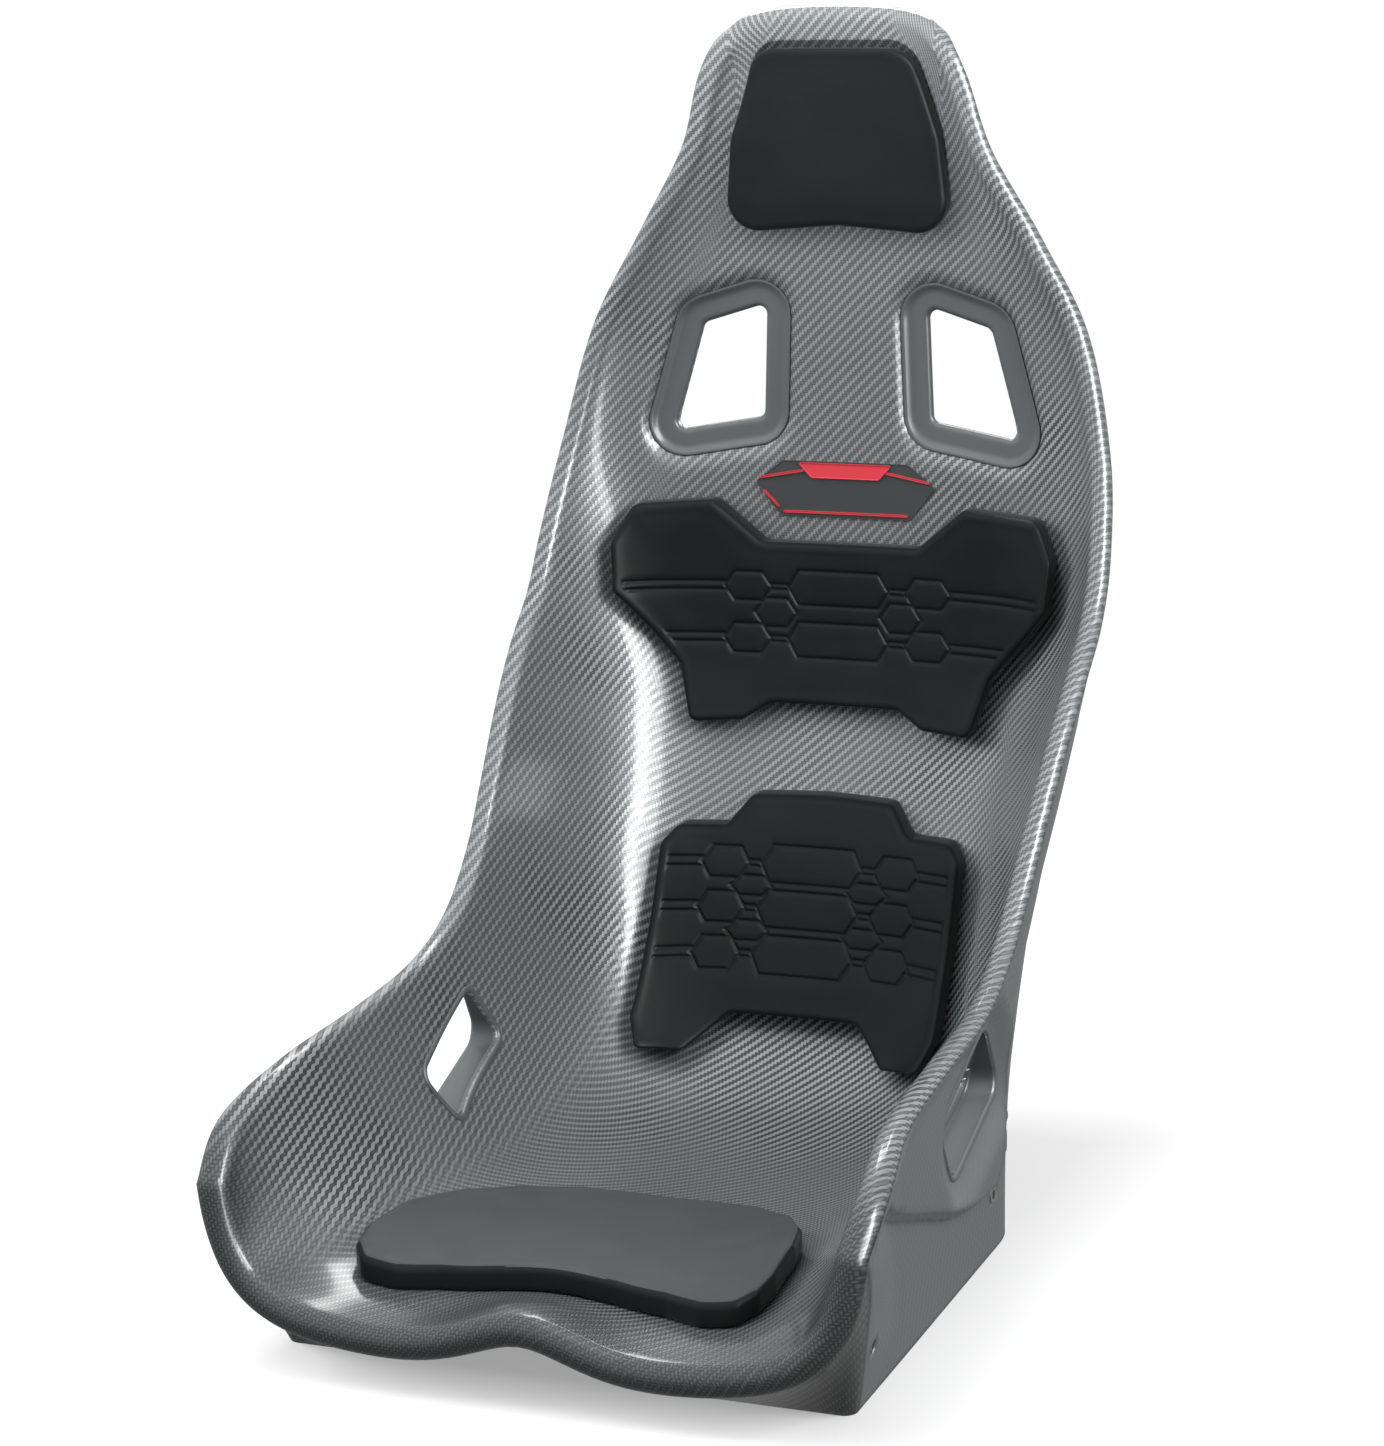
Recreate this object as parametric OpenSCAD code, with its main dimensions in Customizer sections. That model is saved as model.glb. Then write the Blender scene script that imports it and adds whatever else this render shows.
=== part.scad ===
/* [Shell] */
// Thickness of each moulded skin
skin_t = 2.4; // [2:0.1:3]
// Radius of the rolled rim
rim_r = 8.5; // [7.5:0.5:9]
// Extra rim radius at the front corners
rim_front_r = 3; // [0:0.5:4]
// How far the rim rolls back, in degrees
rim_turn = 150; // [140:5:160]
// Height of the raised lip between the legs
lip_hump = 22; // [15:1:24]
// Half width across the flat base sides
base_half_w = 200; // [198:1:201]
// How far the side above the base panel stands out
side_swell = 6.5; // [4:0.5:7]
// Y of the front feet
foot_y = -250; // [-254:1:-246]
// Clear height of the arch under the front edge
arch_h = 26; // [18:1:28]
// Gap at the bonded joint, where the outer skin is tucked into the rolled rim
bond_gap = 0.9; // [0.8:0.1:1.2]
// Extra gap in that joint round the tight corners of the head
top_gap = 1.5; // [1.2:0.1:1.8]

/* [Belt slots] */
// Corner radius of the shoulder belt slots
shoulder_corner_r = 7; // [5:1:9]
// Width of the frame around each shoulder slot
shoulder_frame_w = 17; // [12:1:18]
// Corner radius of the lap belt slots
lap_corner_r = 8; // [5:1:10]
// Width of the frame around each lap slot
lap_frame_w = 8; // [6:1:9]
// Wall of the tunnels that line the slots
tunnel_wall = 3; // [2.5:0.5:4]

/* [Pads] */
// Height of the pads above their tapes
pad_t = 18; // [15:1:20]
// Height of the thinner head pad above its tapes
head_pad_t = 14; // [12:1:15]
// Thickness of the pad cover
cover_t = 1.5; // [1.2:0.1:2]
// Thickness of one strip of hook or loop tape
tape_t = 1.5; // [1:0.1:2]
// Running gap between pieces that lie on each other
gap = 0.3; // [0.3:0.05:0.4]

/* [Side mounts] */
// Distance between the two threads on each side
mount_spacing = 290; // [280:1:295]
// Height of the threads above the floor
mount_h = 42; // [38:1:44]
// Y of the front thread
mount_front_y = -236; // [-238:1:-232]
// Bore of the M8 thread
thread_bore = 6.8; // [6.6:0.1:7]
// Diameter of the insert that shows at the skin
insert_d = 13; // [12:0.5:14]
// Diameter of the insert's flange inside the skin
insert_flange_d = 24; // [22:1:28]

/* [Hidden] */

// Stations of the inner tub, from the front lip up to the head.
// Middle line y, z; floor corner x and its sharpness; rim x, y, z; height of the back at that rim
STATIONS = [
  [-312,  47, 196, 2.2, 208, -302, 128,  50],
  [-262,  52, 185, 2.0, 211, -268, 158,  62],
  [-180,  50, 172, 1.9, 204, -200, 176,  76],
  [ -70,  38, 166, 1.8, 200, -100, 182,  92],
  [  30,  30, 162, 1.9, 199,  -10, 190, 112],
  [ 120,  38, 156, 1.9, 198,   50, 212, 145],
  [ 192,  75, 153, 1.9, 199,   95, 250, 190],
  [ 236, 135, 152, 1.9, 202,  132, 296, 245],
  [ 268, 210, 153, 1.9, 206,  170, 343, 305],
  [ 305, 285, 157, 1.8, 209,  207, 382, 358],
  [ 331, 352, 163, 1.7, 210,  243, 416, 404],
  [ 338, 425, 170, 1.4, 209,  269, 460, 456],
  [ 337, 510, 176, 1.0, 201,  297, 525, 524],
  [ 337, 600, 165, 1.0, 181,  313, 607, 606],
  [ 338, 675, 130, 1.0, 146,  319, 672, 671],
  [ 340, 740, 100, 1.0, 107,  320, 738, 737],
  [ 336, 800,  86, 1.2,  89,  318, 795, 794],
  [ 318, 838,  56, 1.1,  70,  316, 829, 824]
];
last = len(STATIONS) - 1;
tub_rows = 34;
tub_cols = 22;
rim_steps = [0.28, 0.54, 0.78, 1];
apron_rows = 3;
// Outer skin by height: where the side starts to turn, and the middle of the back
SIDE_Y = [[0, 66], [60, 66], [112, 68], [168, 72], [209, 84], [263, 104], [298, 136], [333, 174]];
BACK_Y = [
  [0, 172], [38, 182], [75, 218], [135, 260], [210, 295], [285, 330], [352, 354],
  [425, 361], [510, 362], [600, 362], [675, 362], [740, 362], [800, 357], [840, 343]
];
// Half width of the outer skin by height, above the lap slots
SIDE_X = [
  [343, 213], [382, 216], [416, 216], [460, 213], [525, 205], [607, 186],
  [672, 152], [738, 116], [797, 99], [830, 88]
];
// Heights between which the side leans out to meet that table, and by how much per mm
pod_low = 250;
pod_top = 343;
pod_lean = 0.07;
// Angles of the roll between which the outer skin's edge is tucked in
tuck_start = 125;
tuck_end = 165;
// Top of the flat base panel, by y
STEP_Z = [[-330, 150], [-250, 138], [-180, 105], [-106, 79], [-50, 60], [18, 50], [61, 62], [90, 110]];
step_h = 16;
corner_n = 2.4;
side_cols = 5;
back_cols = 7;
skin_cols = side_cols + back_cols;
rear_rows_low = 3;
// Middle of the seat's depth, measured in the stations' own y
datum_y = 19.9;

// Outlines on the shell: x, z for the back, x, y for the seat, y, z for the lap slots
SHOULDER_SLOT = [[63, 628], [66, 539], [138, 527], [114, 612]];
LAP_SLOT = [[34, 163], [56, 122], [-36, 90], [-58, 127]];
HEAD_PAD = [[-62, 818], [62, 818], [78, 772], [87, 706], [70, 682], [0, 688], [-70, 682], [-87, 706], [-78, 772]];
SHOULDER_HALF = [
  [0, 447], [62, 447], [100, 479], [161, 475], [175, 447], [172, 409], [124, 352],
  [112, 310], [72, 312], [50, 325], [0, 325]
];
LUMBAR_HALF = [
  [0, 262], [56, 260], [73, 238], [109, 238], [119, 226], [120, 108], [111, 88],
  [78, 84], [50, 108], [0, 108]
];
SEAT_HALF = [
  [0, -257], [40, -257], [78, -262], [106, -273], [130, -273], [141, -258], [144, -235],
  [139, -185], [124, -130], [100, -82], [66, -52], [30, -44], [0, -45]
];
BADGE = [[-72, 491], [-50, 508], [50, 508], [72, 491], [52, 465], [-52, 465]];
INLAY = [[-38, 507], [38, 507], [27, 495], [-27, 495]];

// Thickness of the slot frames, and how far their tunnels reach back
frame_t = 1.8;
tunnel_depth = 26;
// Tapped inserts and the plates they sit in
insert_len = 11.3;
insert_flange_t = 4;
plate_t = 4;
plate_x = base_half_w - 3;
plate_h = 44;
plate_end = 14;
// How far above the shell a pad starts, over both tapes
pad_low = 3 * gap + 2 * tape_t;
// The stretch of tub under the seat pad
seat_s = [-0.0, 3.4];
seat_u = 0.8;
seat_cells = [9, 10];

function flatten(rows) = [for (r = rows) each r];
function mirror_half(pts) = concat(pts, [for (i = [len(pts) - 2:-1:1]) [-pts[i][0], pts[i][1]]]);
function smooth(v) = let (c = min(max(v, 0), 1)) c * c * (3 - 2 * c);
function mix(a, b, t) = a + (b - a) * t;
function spline(a, b, c, d, t) =
  0.5 * (2 * b + (c - a) * t + (2 * a - 5 * b + 4 * c - d) * t ^ 2 + (3 * b - a - 3 * c + d) * t ^ 3);

// The station values at any place along the shell
function station(s) =
  let (i = min(floor(s), last - 1), b = STATIONS[i], c = STATIONS[i + 1])
  let (a = i > 0 ? STATIONS[i - 1] : 2 * b - c, d = i + 2 <= last ? STATIONS[i + 2] : 2 * c - b)
  spline(a, b, c, d, s - i);

// The inner face of the tub: s runs from the lip to the head, u from the left rim to the right one
function tub(s, u) =
  let (r = station(s), a = abs(u), near = (1 - a) ^ 2, mid = 2 * r[3] * a * (1 - a), far = a ^ 2)
  let (sum = near + mid + far, x = (mid * r[2] + far * r[4]) / sum)
  let (y = ((near + mid) * r[0] + far * r[5]) / sum, z = ((near + mid) * r[1] + far * r[6]) / sum)
  [sign(u) * x, y, z + lip_hump * exp(-(x / 52) ^ 2 - (s / 1.1) ^ 2)];

// Unit normal of the tub, away from the driver
function tub_normal(s, u, h = 0.02) =
  let (up = tub(min(s + h, last), u) - tub(max(s - h, 0), u))
  let (across = tub(s, min(u + h, 1)) - tub(s, max(u - h, -1)), n = cross(up, across))
  n / norm(n);
function tub_offset(s, u, d) = tub(s, u) + d * tub_normal(s, u);

// The rim's edge as one loop of s, u pairs: lip, right side, top, left side
tub_s = [for (i = [0:tub_rows]) last * i / tub_rows];
tub_u = [for (j = [0:tub_cols]) 2 * j / tub_cols - 1];
rim_loop = concat(
  [for (j = [0:tub_cols - 1]) [0, tub_u[j]]],
  [for (i = [0:tub_rows - 1]) [tub_s[i], 1]],
  [for (j = [tub_cols:-1:1]) [last, tub_u[j]]],
  [for (i = [tub_rows:-1:1]) [tub_s[i], -1]]
);
// A point a little way further round the loop
function along(s, u, h) =
  s == 0 && u + h <= 1 && u + h >= -1 ? [0, u + h]
  : s == last && u - h <= 1 && u - h >= -1 ? [last, u - h]
  : [min(max(s + sign(u) * h * 8, 0), last), u];
function rim_frame(s, u, h = 0.03) =
  let (a = along(s, u, h), b = along(s, u, -h), run = tub(a[0], a[1]) - tub(b[0], b[1]))
  let (n = tub_normal(s, u), t = cross(n, run))
  [t / norm(t), n];
function rim_radius(s) = rim_r + rim_front_r * exp(-(s / 2) ^ 2);
// A point of the rolled rim, turned by a, and inset by the skin's thickness where in = 1
function rim_point(s, u, a, in = 0) =
  let (f = rim_frame(s, u), r = rim_radius(s), m = sin(a) * f[0] - cos(a) * f[1])
  tub(s, u) + r * f[1] + (r - in * skin_t) * m;
// Where the skin leaves the rim, moved on by d
function rim_exit(s, u, d = 0, in = 0) =
  let (f = rim_frame(s, u))
  rim_point(s, u, rim_turn, in) + d * (cos(rim_turn) * f[0] + sin(rim_turn) * f[1]);

// The front edge below the lip, down to the feet and the arch between them
function foot(u) =
  let (x = rim_exit(0, u)[0] * base_half_w / rim_exit(0, 1)[0])
  [x, foot_y, arch_h * min(max((95 - abs(x)) / 22, 0), 1)];
function apron(u, v, in = 0) =
  let (e = rim_exit(0, u, 0, in), f = foot(u) + [0, in * skin_t, 0])
  [mix(e[0], f[0], v), mix(e[1], f[1], v ^ 0.9), mix(e[2], f[2], v)];

// Triangles of a grid of points, and of the strip that closes two sheets along an edge
function grid_faces(rows, cols, start, flip) = [
  for (i = [0:rows - 2], j = [0:cols - 2])
    let (a = start + i * cols + j, b = a + 1, c = a + cols, d = c + 1)
    each flip ? [[a, c, b], [b, c, d]] : [[a, b, c], [b, d, c]]
];
function strip_faces(a, b) = [
  for (k = [0:len(a) - 2]) each [[a[k + 1], a[k], b[k]], [a[k + 1], b[k], b[k + 1]]]
];
function turned(faces, shift) = [for (f = faces) [f[0] + shift, f[2] + shift, f[1] + shift]];
function shifted(list, d) = [for (v = list) v + d];

// A closed solid between two grids of points
module sheet(front, back) {
  rows = len(front);
  cols = len(front[0]);
  n = rows * cols;
  edge = concat(
    [for (j = [0:cols - 2]) j],
    [for (i = [0:rows - 2]) i * cols + cols - 1],
    [for (j = [cols - 1:-1:1]) (rows - 1) * cols + j],
    [for (i = [rows - 1:-1:0]) i * cols]
  );
  faces = concat(
    grid_faces(rows, cols, 0, false), grid_faces(rows, cols, n, true), strip_faces(edge, shifted(edge, n))
  );
  polyhedron(points = concat(flatten(front), flatten(back)), faces = turned(faces, 0), convexity = 8);
}

// The space between two offsets of the tub, over a patch of its own rows and columns
module tub_layer(rows, cols, d_front, d_back) {
  sheet(
    [for (i = rows) [for (j = cols) tub_offset(tub_s[i], tub_u[j], d_front)]],
    [for (i = rows) [for (j = cols) tub_offset(tub_s[i], tub_u[j], d_back)]]
  );
}

// Keeps a boolean of faceted solids as one faceted solid
module one_piece() {
  resize([0, 0, 0]) children();
}

module rounded(outline, r) {
  offset(r = r) offset(delta = -r) polygon(outline);
}
// Prisms through the shell: along y for the back, along x for the sides, along z for the seat
module along_y(from, to) {
  translate([0, to, 0]) rotate([90, 0, 0]) linear_extrude(to - from) children();
}
module along_x(from, to) {
  translate([from, 0, 0]) rotate([90, 0, 90]) linear_extrude(to - from) children();
}
module along_z(from, to) {
  translate([0, 0, from]) linear_extrude(to - from) children();
}

module shoulder_slot_outline(grow) {
  offset(r = grow, $fn = 16) rounded(SHOULDER_SLOT, shoulder_corner_r, $fn = 16);
}
module lap_slot_outline(grow) {
  offset(r = grow, $fn = 16) rounded(LAP_SLOT, lap_corner_r, $fn = 16);
}
// All belt openings, cut a little larger than the tunnels that line them
module slot_cuts() {
  for (side = [0, 1]) mirror([side, 0, 0]) {
    along_y(280, 400) shoulder_slot_outline(tunnel_wall + gap);
    along_x(140, 240) lap_slot_outline(tunnel_wall + gap);
  }
}

module front_skin_solid() {
  nu = tub_cols + 1;
  nl = len(rim_loop);
  nk = len(rim_steps);
  grid_n = (tub_rows + 1) * nu;
  apron_start = grid_n + nk * nl;
  n = apron_start + apron_rows * nu;
  function points(in) = concat(
    [for (s = tub_s) for (u = tub_u) tub_offset(s, u, in * skin_t)],
    [for (k = rim_steps) for (p = rim_loop) rim_point(p[0], p[1], k * rim_turn, in)],
    [for (m = [1:apron_rows]) for (u = tub_u) apron(u, m / apron_rows, in)]
  );
  base_loop = concat(
    [for (j = [0:tub_cols - 1]) j],
    [for (i = [0:tub_rows - 1]) i * nu + tub_cols],
    [for (j = [tub_cols:-1:1]) tub_rows * nu + j],
    [for (i = [tub_rows:-1:1]) i * nu]
  );
  rings = concat([base_loop], [for (k = [0:nk - 1]) [for (l = [0:nl - 1]) grid_n + k * nl + l]]);
  closed = [for (r = rings) concat(r, [r[0]])];
  lip = [for (j = [0:tub_cols]) rings[nk][j]];
  aprons = concat([lip], [for (m = [0:apron_rows - 1]) [for (j = [0:tub_cols]) apron_start + m * nu + j]]);
  outer = concat(
    grid_faces(tub_rows + 1, nu, 0, false),
    [for (k = [0:nk - 1]) each strip_faces(closed[k], closed[k + 1])],
    [for (m = [0:apron_rows - 1]) each strip_faces(aprons[m], aprons[m + 1])]
  );
  edge = concat(
    [for (l = [tub_cols:nl - 1]) rings[nk][l]],
    [for (m = [0:apron_rows - 1]) aprons[m][0]],
    [for (j = [0:tub_cols]) aprons[apron_rows][j]],
    [for (m = [apron_rows - 1:-1:0]) aprons[m][tub_cols]]
  );
  faces = concat(outer, turned(outer, n), strip_faces(edge, shifted(edge, n)));
  polyhedron(points = concat(points(0), points(1)), faces = turned(faces, 0), convexity = 10);
}

// Half width of the outer skin at a height, with the swell above the base panel
function side_x(y, z) =
  z > pod_top ? lookup(z, SIDE_X)
  : base_half_w + side_swell * smooth((z - lookup(y, STEP_Z)) / step_h) + max(0, z - pod_low) * pod_lean;
// A line of the right half of the outer skin, from its front point f to the middle of the back at height zb
function skin_line(f, zb) =
  let (zg = mix(f[2], zb, 0.4), gy = max(lookup(zg, SIDE_Y), f[1] + 5), gz = min(zg, 830))
  [
    for (k = [1:skin_cols])
      let (t = k / side_cols, y = mix(f[1], gy, t), z = mix(f[2], zg, t), c = (k - side_cols) / back_cols)
      k <= side_cols ? [mix(f[0], side_x(y, z), smooth(t * 3)), y, z]
      : [
        side_x(gy, gz) * cos(90 * c) ^ (2 / corner_n),
        mix(gy, lookup(zb, BACK_Y), sin(90 * c) ^ (2 / corner_n)),
        mix(zg, zb, c)
      ]
  ];
// The outer skin's edge, tucked into the rolled rim: a is the angle it has turned through
function tucked(s, u, a) =
  let (f = rim_frame(s, u), r = rim_radius(s), gap_here = bond_gap + top_gap * exp(-(last - s) ^ 2))
  tub(s, u) + r * f[1] + (r - skin_t - gap_here) * (sin(a) * f[0] - cos(a) * f[1]);
module rear_skin_solid() {
  low = [
    for (m = [0:rear_rows_low - 1])
      let (p = apron(1, 1 - m / rear_rows_low) + [-0.5, skin_t + bond_gap + 0.5 * m, 0]) [p + [-7, 1, 0], p, p[2] * 0.45]
  ];
  high = [
    for (i = [0:tub_rows - 1]) [tucked(tub_s[i], 1, tuck_start), tucked(tub_s[i], 1, tuck_end), station(tub_s[i])[7]]
  ];
  halves = [for (f = concat(low, high)) concat([f[0], f[1]], skin_line(f[1], f[2]))];
  top = [
    for (a = [tuck_end, tuck_start]) [
      for (k = [-skin_cols - 1:skin_cols + 1])
        abs(k) > skin_cols ? tucked(last - (a - tuck_start) / 200, sign(k), tuck_start)
        : tucked(last, k / skin_cols * 0.9, a)
    ]
  ];
  outer = concat(
    [
      for (h = halves) [
        for (k = [-skin_cols - 1:skin_cols + 1])
          let (p = h[skin_cols + 1 - abs(k)]) k == 0 ? [0, p[1], p[2]] : [sign(k) * p[0], p[1], p[2]]
      ]
    ],
    top
  );
  rows = len(outer);
  cols = len(top[0]);
  inner = [
    for (i = [0:rows - 1]) [
      for (j = [0:cols - 1])
        let (up = outer[min(i + 1, rows - 1)][j] - outer[max(i - 1, 0)][j])
        let (across = outer[i][min(j + 1, cols - 1)] - outer[i][max(j - 1, 0)], m = cross(up, across))
        outer[i][j] - skin_t * m / norm(m)
    ]
  ];
  sheet(inner, outer);
}

module front_skin() {
  color("dimgray") one_piece() difference() {
    front_skin_solid();
    slot_cuts();
  }
}
module insert_places() {
  for (y = [mount_front_y, mount_front_y + mount_spacing]) translate([0, y, mount_h]) rotate([0, 90, 0]) children();
}
module rear_skin() {
  color("gray") one_piece() difference() {
    rear_skin_solid();
    slot_cuts();
    for (side = [0, 1]) mirror([side, 0, 0])
      translate([150, 0, 0]) insert_places() cylinder(d = insert_d + 2 * gap, h = 100, $fn = 24);
  }
}

// A frame round an opening: a ring on the driver's side of the shell, and a tunnel through to the outer skin
module shoulder_slot_frame() {
  color("darkslategray") one_piece() union() {
    intersection() {
      along_y(270, 400) difference() {
        shoulder_slot_outline(shoulder_frame_w);
        shoulder_slot_outline(0);
      }
      tub_layer([22:28], [12:21], -gap - frame_t, -gap);
    }
    intersection() {
      along_y(270, 400) difference() {
        shoulder_slot_outline(tunnel_wall);
        shoulder_slot_outline(0);
      }
      tub_layer([22:28], [12:21], -gap - frame_t / 2, tunnel_depth);
    }
  }
}
module lap_slot_frame() {
  color("darkslategray") one_piece() union() {
    intersection() {
      along_x(140, 240) difference() {
        lap_slot_outline(lap_frame_w);
        lap_slot_outline(0);
      }
      tub_layer([4:12], [16:22], -gap - frame_t, -gap);
    }
    intersection() {
      along_x(140, base_half_w + side_swell + 1) difference() {
        lap_slot_outline(tunnel_wall);
        lap_slot_outline(0);
      }
      tub_layer([4:12], [16:22], -gap - frame_t / 2, 50);
    }
  }
}

// The two tapped inserts of one side, and the plate inside the base panel that they are bonded into
module side_mount_inserts() {
  color("silver") for (side = [0, 1]) mirror([side, 0, 0]) insert_places() translate([0, 0, base_half_w]) {
    difference() {
      union() {
        translate([0, 0, -insert_len]) cylinder(d = insert_d, h = insert_len + 0.4, $fn = 48);
        translate([0, 0, -insert_len]) cylinder(d = insert_flange_d, h = insert_flange_t, $fn = 48);
      }
      translate([0, 0, -insert_len - 1]) cylinder(d = thread_bore, h = insert_len + 3, $fn = 48);
    }
  }
}
module side_mount_plate() {
  color("gray") difference() {
    translate([plate_x - plate_t, mount_front_y - plate_end, mount_h - plate_h / 2])
      cube([plate_t, mount_spacing + 2 * plate_end, plate_h]);
    translate([plate_x - plate_t - 1, 0, 0]) insert_places() cylinder(d = insert_d + 2 * gap, h = plate_t + 2, $fn = 48);
  }
}

// A piece that follows the shell's surface inside an outline, between two distances above it
module back_slab(rows, cols, low, high) {
  intersection() {
    along_y(60, 420) children();
    tub_layer(rows, cols, -high, -low);
  }
}
module seat_slab(low, high) {
  intersection() {
    along_z(20, 160) children();
    tub_layer([1:7], [2:20], -high, -low);
  }
}
module pad_outline(name, inset) {
  pts = name == "head" ? HEAD_PAD
    : name == "shoulder" ? mirror_half(SHOULDER_HALF)
    : name == "lumbar" ? mirror_half(LUMBAR_HALF)
    : mirror_half(SEAT_HALF);
  offset(delta = -inset) rounded(pts, name == "head" ? 14 : 7, $fn = 16);
}
module pad_place(name, low, high) {
  if (name == "head") back_slab([28:34], [2:20], low, high) children();
  if (name == "shoulder") back_slab([16:24], [1:21], low, high) children();
  if (name == "lumbar") back_slab([11:19], [3:19], low, high) children();
  if (name == "seat") seat_slab(low, high) children();
}
module pad_slab(name, low, high, inset) {
  pad_place(name, low, high) pad_outline(name, inset);
}
function pad_top(name) = pad_low + (name == "head" ? head_pad_t : pad_t);
module pad_cover(name) {
  color("black") one_piece() difference() {
    pad_slab(name, pad_low, pad_top(name), 0);
    pad_slab(name, pad_low - 3, pad_top(name) - cover_t, cover_t);
  }
}
module pad_foam(name) {
  color("khaki") one_piece() pad_slab(name, pad_low, pad_top(name) - cover_t - gap, cover_t + gap);
}
// Strips of tape under a pad: two upright ones, one each side of the middle
module tape_outline(name) {
  r = name == "head" ? [18, 60, 700, 800] : name == "shoulder" ? [30, 95, 345, 430]
    : name == "lumbar" ? [25, 95, 118, 225] : [30, 88, -252, -115];
  for (side = [0, 1]) mirror([side, 0]) translate([r[0], r[2]]) square([r[1] - r[0], r[3] - r[2]]);
}
module tape(name, low) {
  pad_place(name, low, low + tape_t) tape_outline(name);
}
module loop_tape(name) {
  color("dimgray") one_piece() tape(name, 2 * gap + tape_t);
}
module hook_tape(name) {
  color("dimgray") one_piece() tape(name, gap);
}

module badge_plate() {
  color("dimgray") one_piece() back_slab([22:26], [6:16], gap, gap + 0.8) polygon(BADGE);
}
module badge_inlay() {
  color("red") one_piece() back_slab([22:26], [6:16], 2 * gap + 0.8, 2 * gap + 1.3) polygon(INLAY);
}

module place() {
  translate([0, -datum_y, 0]) children();
}
module left() {
  place() mirror([1, 0, 0]) children();
}
place() front_skin();
place() rear_skin();
left() side_mount_plate();  // side_mount_plate_left
place() side_mount_plate();  // side_mount_plate_right
place() side_mount_inserts();
left() shoulder_slot_frame();  // shoulder_slot_frame_left
place() shoulder_slot_frame();  // shoulder_slot_frame_right
left() lap_slot_frame();  // lap_slot_frame_left
place() lap_slot_frame();  // lap_slot_frame_right
place() badge_plate();
place() badge_inlay();
place() pad_cover("head");  // head_pad_cover
place() pad_foam("head");  // head_pad_foam
place() loop_tape("head");  // head_pad_loop_tape
place() hook_tape("head");  // head_pad_hook_tape
place() pad_cover("shoulder");  // shoulder_pad_cover
place() pad_foam("shoulder");  // shoulder_pad_foam
place() loop_tape("shoulder");  // shoulder_pad_loop_tape
place() hook_tape("shoulder");  // shoulder_pad_hook_tape
place() pad_cover("lumbar");  // lumbar_pad_cover
place() pad_foam("lumbar");  // lumbar_pad_foam
place() loop_tape("lumbar");  // lumbar_pad_loop_tape
place() hook_tape("lumbar");  // lumbar_pad_hook_tape
place() pad_cover("seat");  // seat_pad_cover
place() pad_foam("seat");  // seat_pad_foam
place() loop_tape("seat");  // seat_pad_loop_tape
place() hook_tape("seat");  // seat_pad_hook_tape
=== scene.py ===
"""Looks of a one-piece racing seat: a twill carbon shell with its belt slots, and four moulded foam pads."""

from math import acos, atan2, cos, exp, pi, radians, sin, tan

import bpy
import numpy as np
from mathutils import Matrix, Vector
from mathutils.geometry import delaunay_2d_cdt


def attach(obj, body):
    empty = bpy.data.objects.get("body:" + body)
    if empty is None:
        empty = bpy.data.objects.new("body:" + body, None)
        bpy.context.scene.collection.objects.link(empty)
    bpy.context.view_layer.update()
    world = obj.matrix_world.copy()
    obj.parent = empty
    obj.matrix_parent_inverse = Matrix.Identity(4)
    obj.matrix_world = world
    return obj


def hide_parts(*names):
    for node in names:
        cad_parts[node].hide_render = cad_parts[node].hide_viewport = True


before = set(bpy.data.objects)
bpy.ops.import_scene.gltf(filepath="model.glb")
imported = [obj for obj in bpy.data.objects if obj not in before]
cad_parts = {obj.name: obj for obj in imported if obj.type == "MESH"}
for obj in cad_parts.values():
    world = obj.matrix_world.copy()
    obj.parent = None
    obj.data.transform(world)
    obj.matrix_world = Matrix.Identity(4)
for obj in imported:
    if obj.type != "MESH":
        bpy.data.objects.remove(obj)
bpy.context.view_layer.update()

# ------------ sizes of the seat, in millimetres
MM = 0.001
DATUM_Y = 19.9  # the stations' own y at the middle of the seat's depth
SKIN_T = 2.4
RIM_R, RIM_FRONT_R = 8.5, 3.0  # radius of the rolled rim, and how much larger it is on the lip
RIM_TURN = radians(150)
LIP_HUMP = 22.0  # how far the lip rises between the legs
BASE_HALF_W = 200.0
SIDE_SWELL, STEP_H = 8.5, 7.0  # how far the side stands out over the base panel, and the height of that step
FOOT_Y, ARCH_H = -250.0, 26.0  # the feet's front face, and the height of the arch between them
BOND_GAP, TOP_GAP = 0.9, 1.5  # between the skins inside the rim, and how much more at the head
CORNER_N = 2.4  # how square the corners between side and back are

# Stations of the inner tub, from the front lip up to the head:
# middle line y, z; floor corner x and its sharpness; rim x, y, z; height of the back at that rim
STATIONS = np.array([
    [-312, 47, 196, 2.2, 208, -302, 128, 50], [-262, 52, 185, 2.0, 211, -268, 158, 62],
    [-180, 50, 172, 1.9, 204, -200, 176, 76], [-70, 38, 166, 1.8, 200, -100, 182, 92],
    [30, 30, 162, 1.9, 199, -10, 190, 112], [120, 38, 156, 1.9, 198, 50, 212, 145],
    [192, 75, 153, 1.9, 199, 95, 250, 190], [236, 135, 152, 1.9, 202, 132, 296, 245],
    [268, 210, 153, 1.9, 206, 170, 343, 305], [305, 285, 157, 1.8, 209, 207, 382, 358],
    [331, 352, 163, 1.7, 210, 243, 416, 404], [338, 425, 170, 1.4, 209, 269, 460, 456],
    [337, 510, 176, 1.0, 201, 297, 525, 524], [337, 600, 165, 1.0, 181, 313, 607, 606],
    [338, 675, 130, 1.0, 146, 319, 672, 671], [340, 740, 100, 1.0, 107, 320, 738, 737],
    [336, 800, 86, 1.2, 89, 318, 795, 794], [318, 838, 56, 1.1, 70, 316, 829, 824],
], float)
LAST = len(STATIONS) - 1
BEND = 6  # the station where the seat turns up into the back
FIND_STEPS = 14  # Newton steps to a place on the tub

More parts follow.
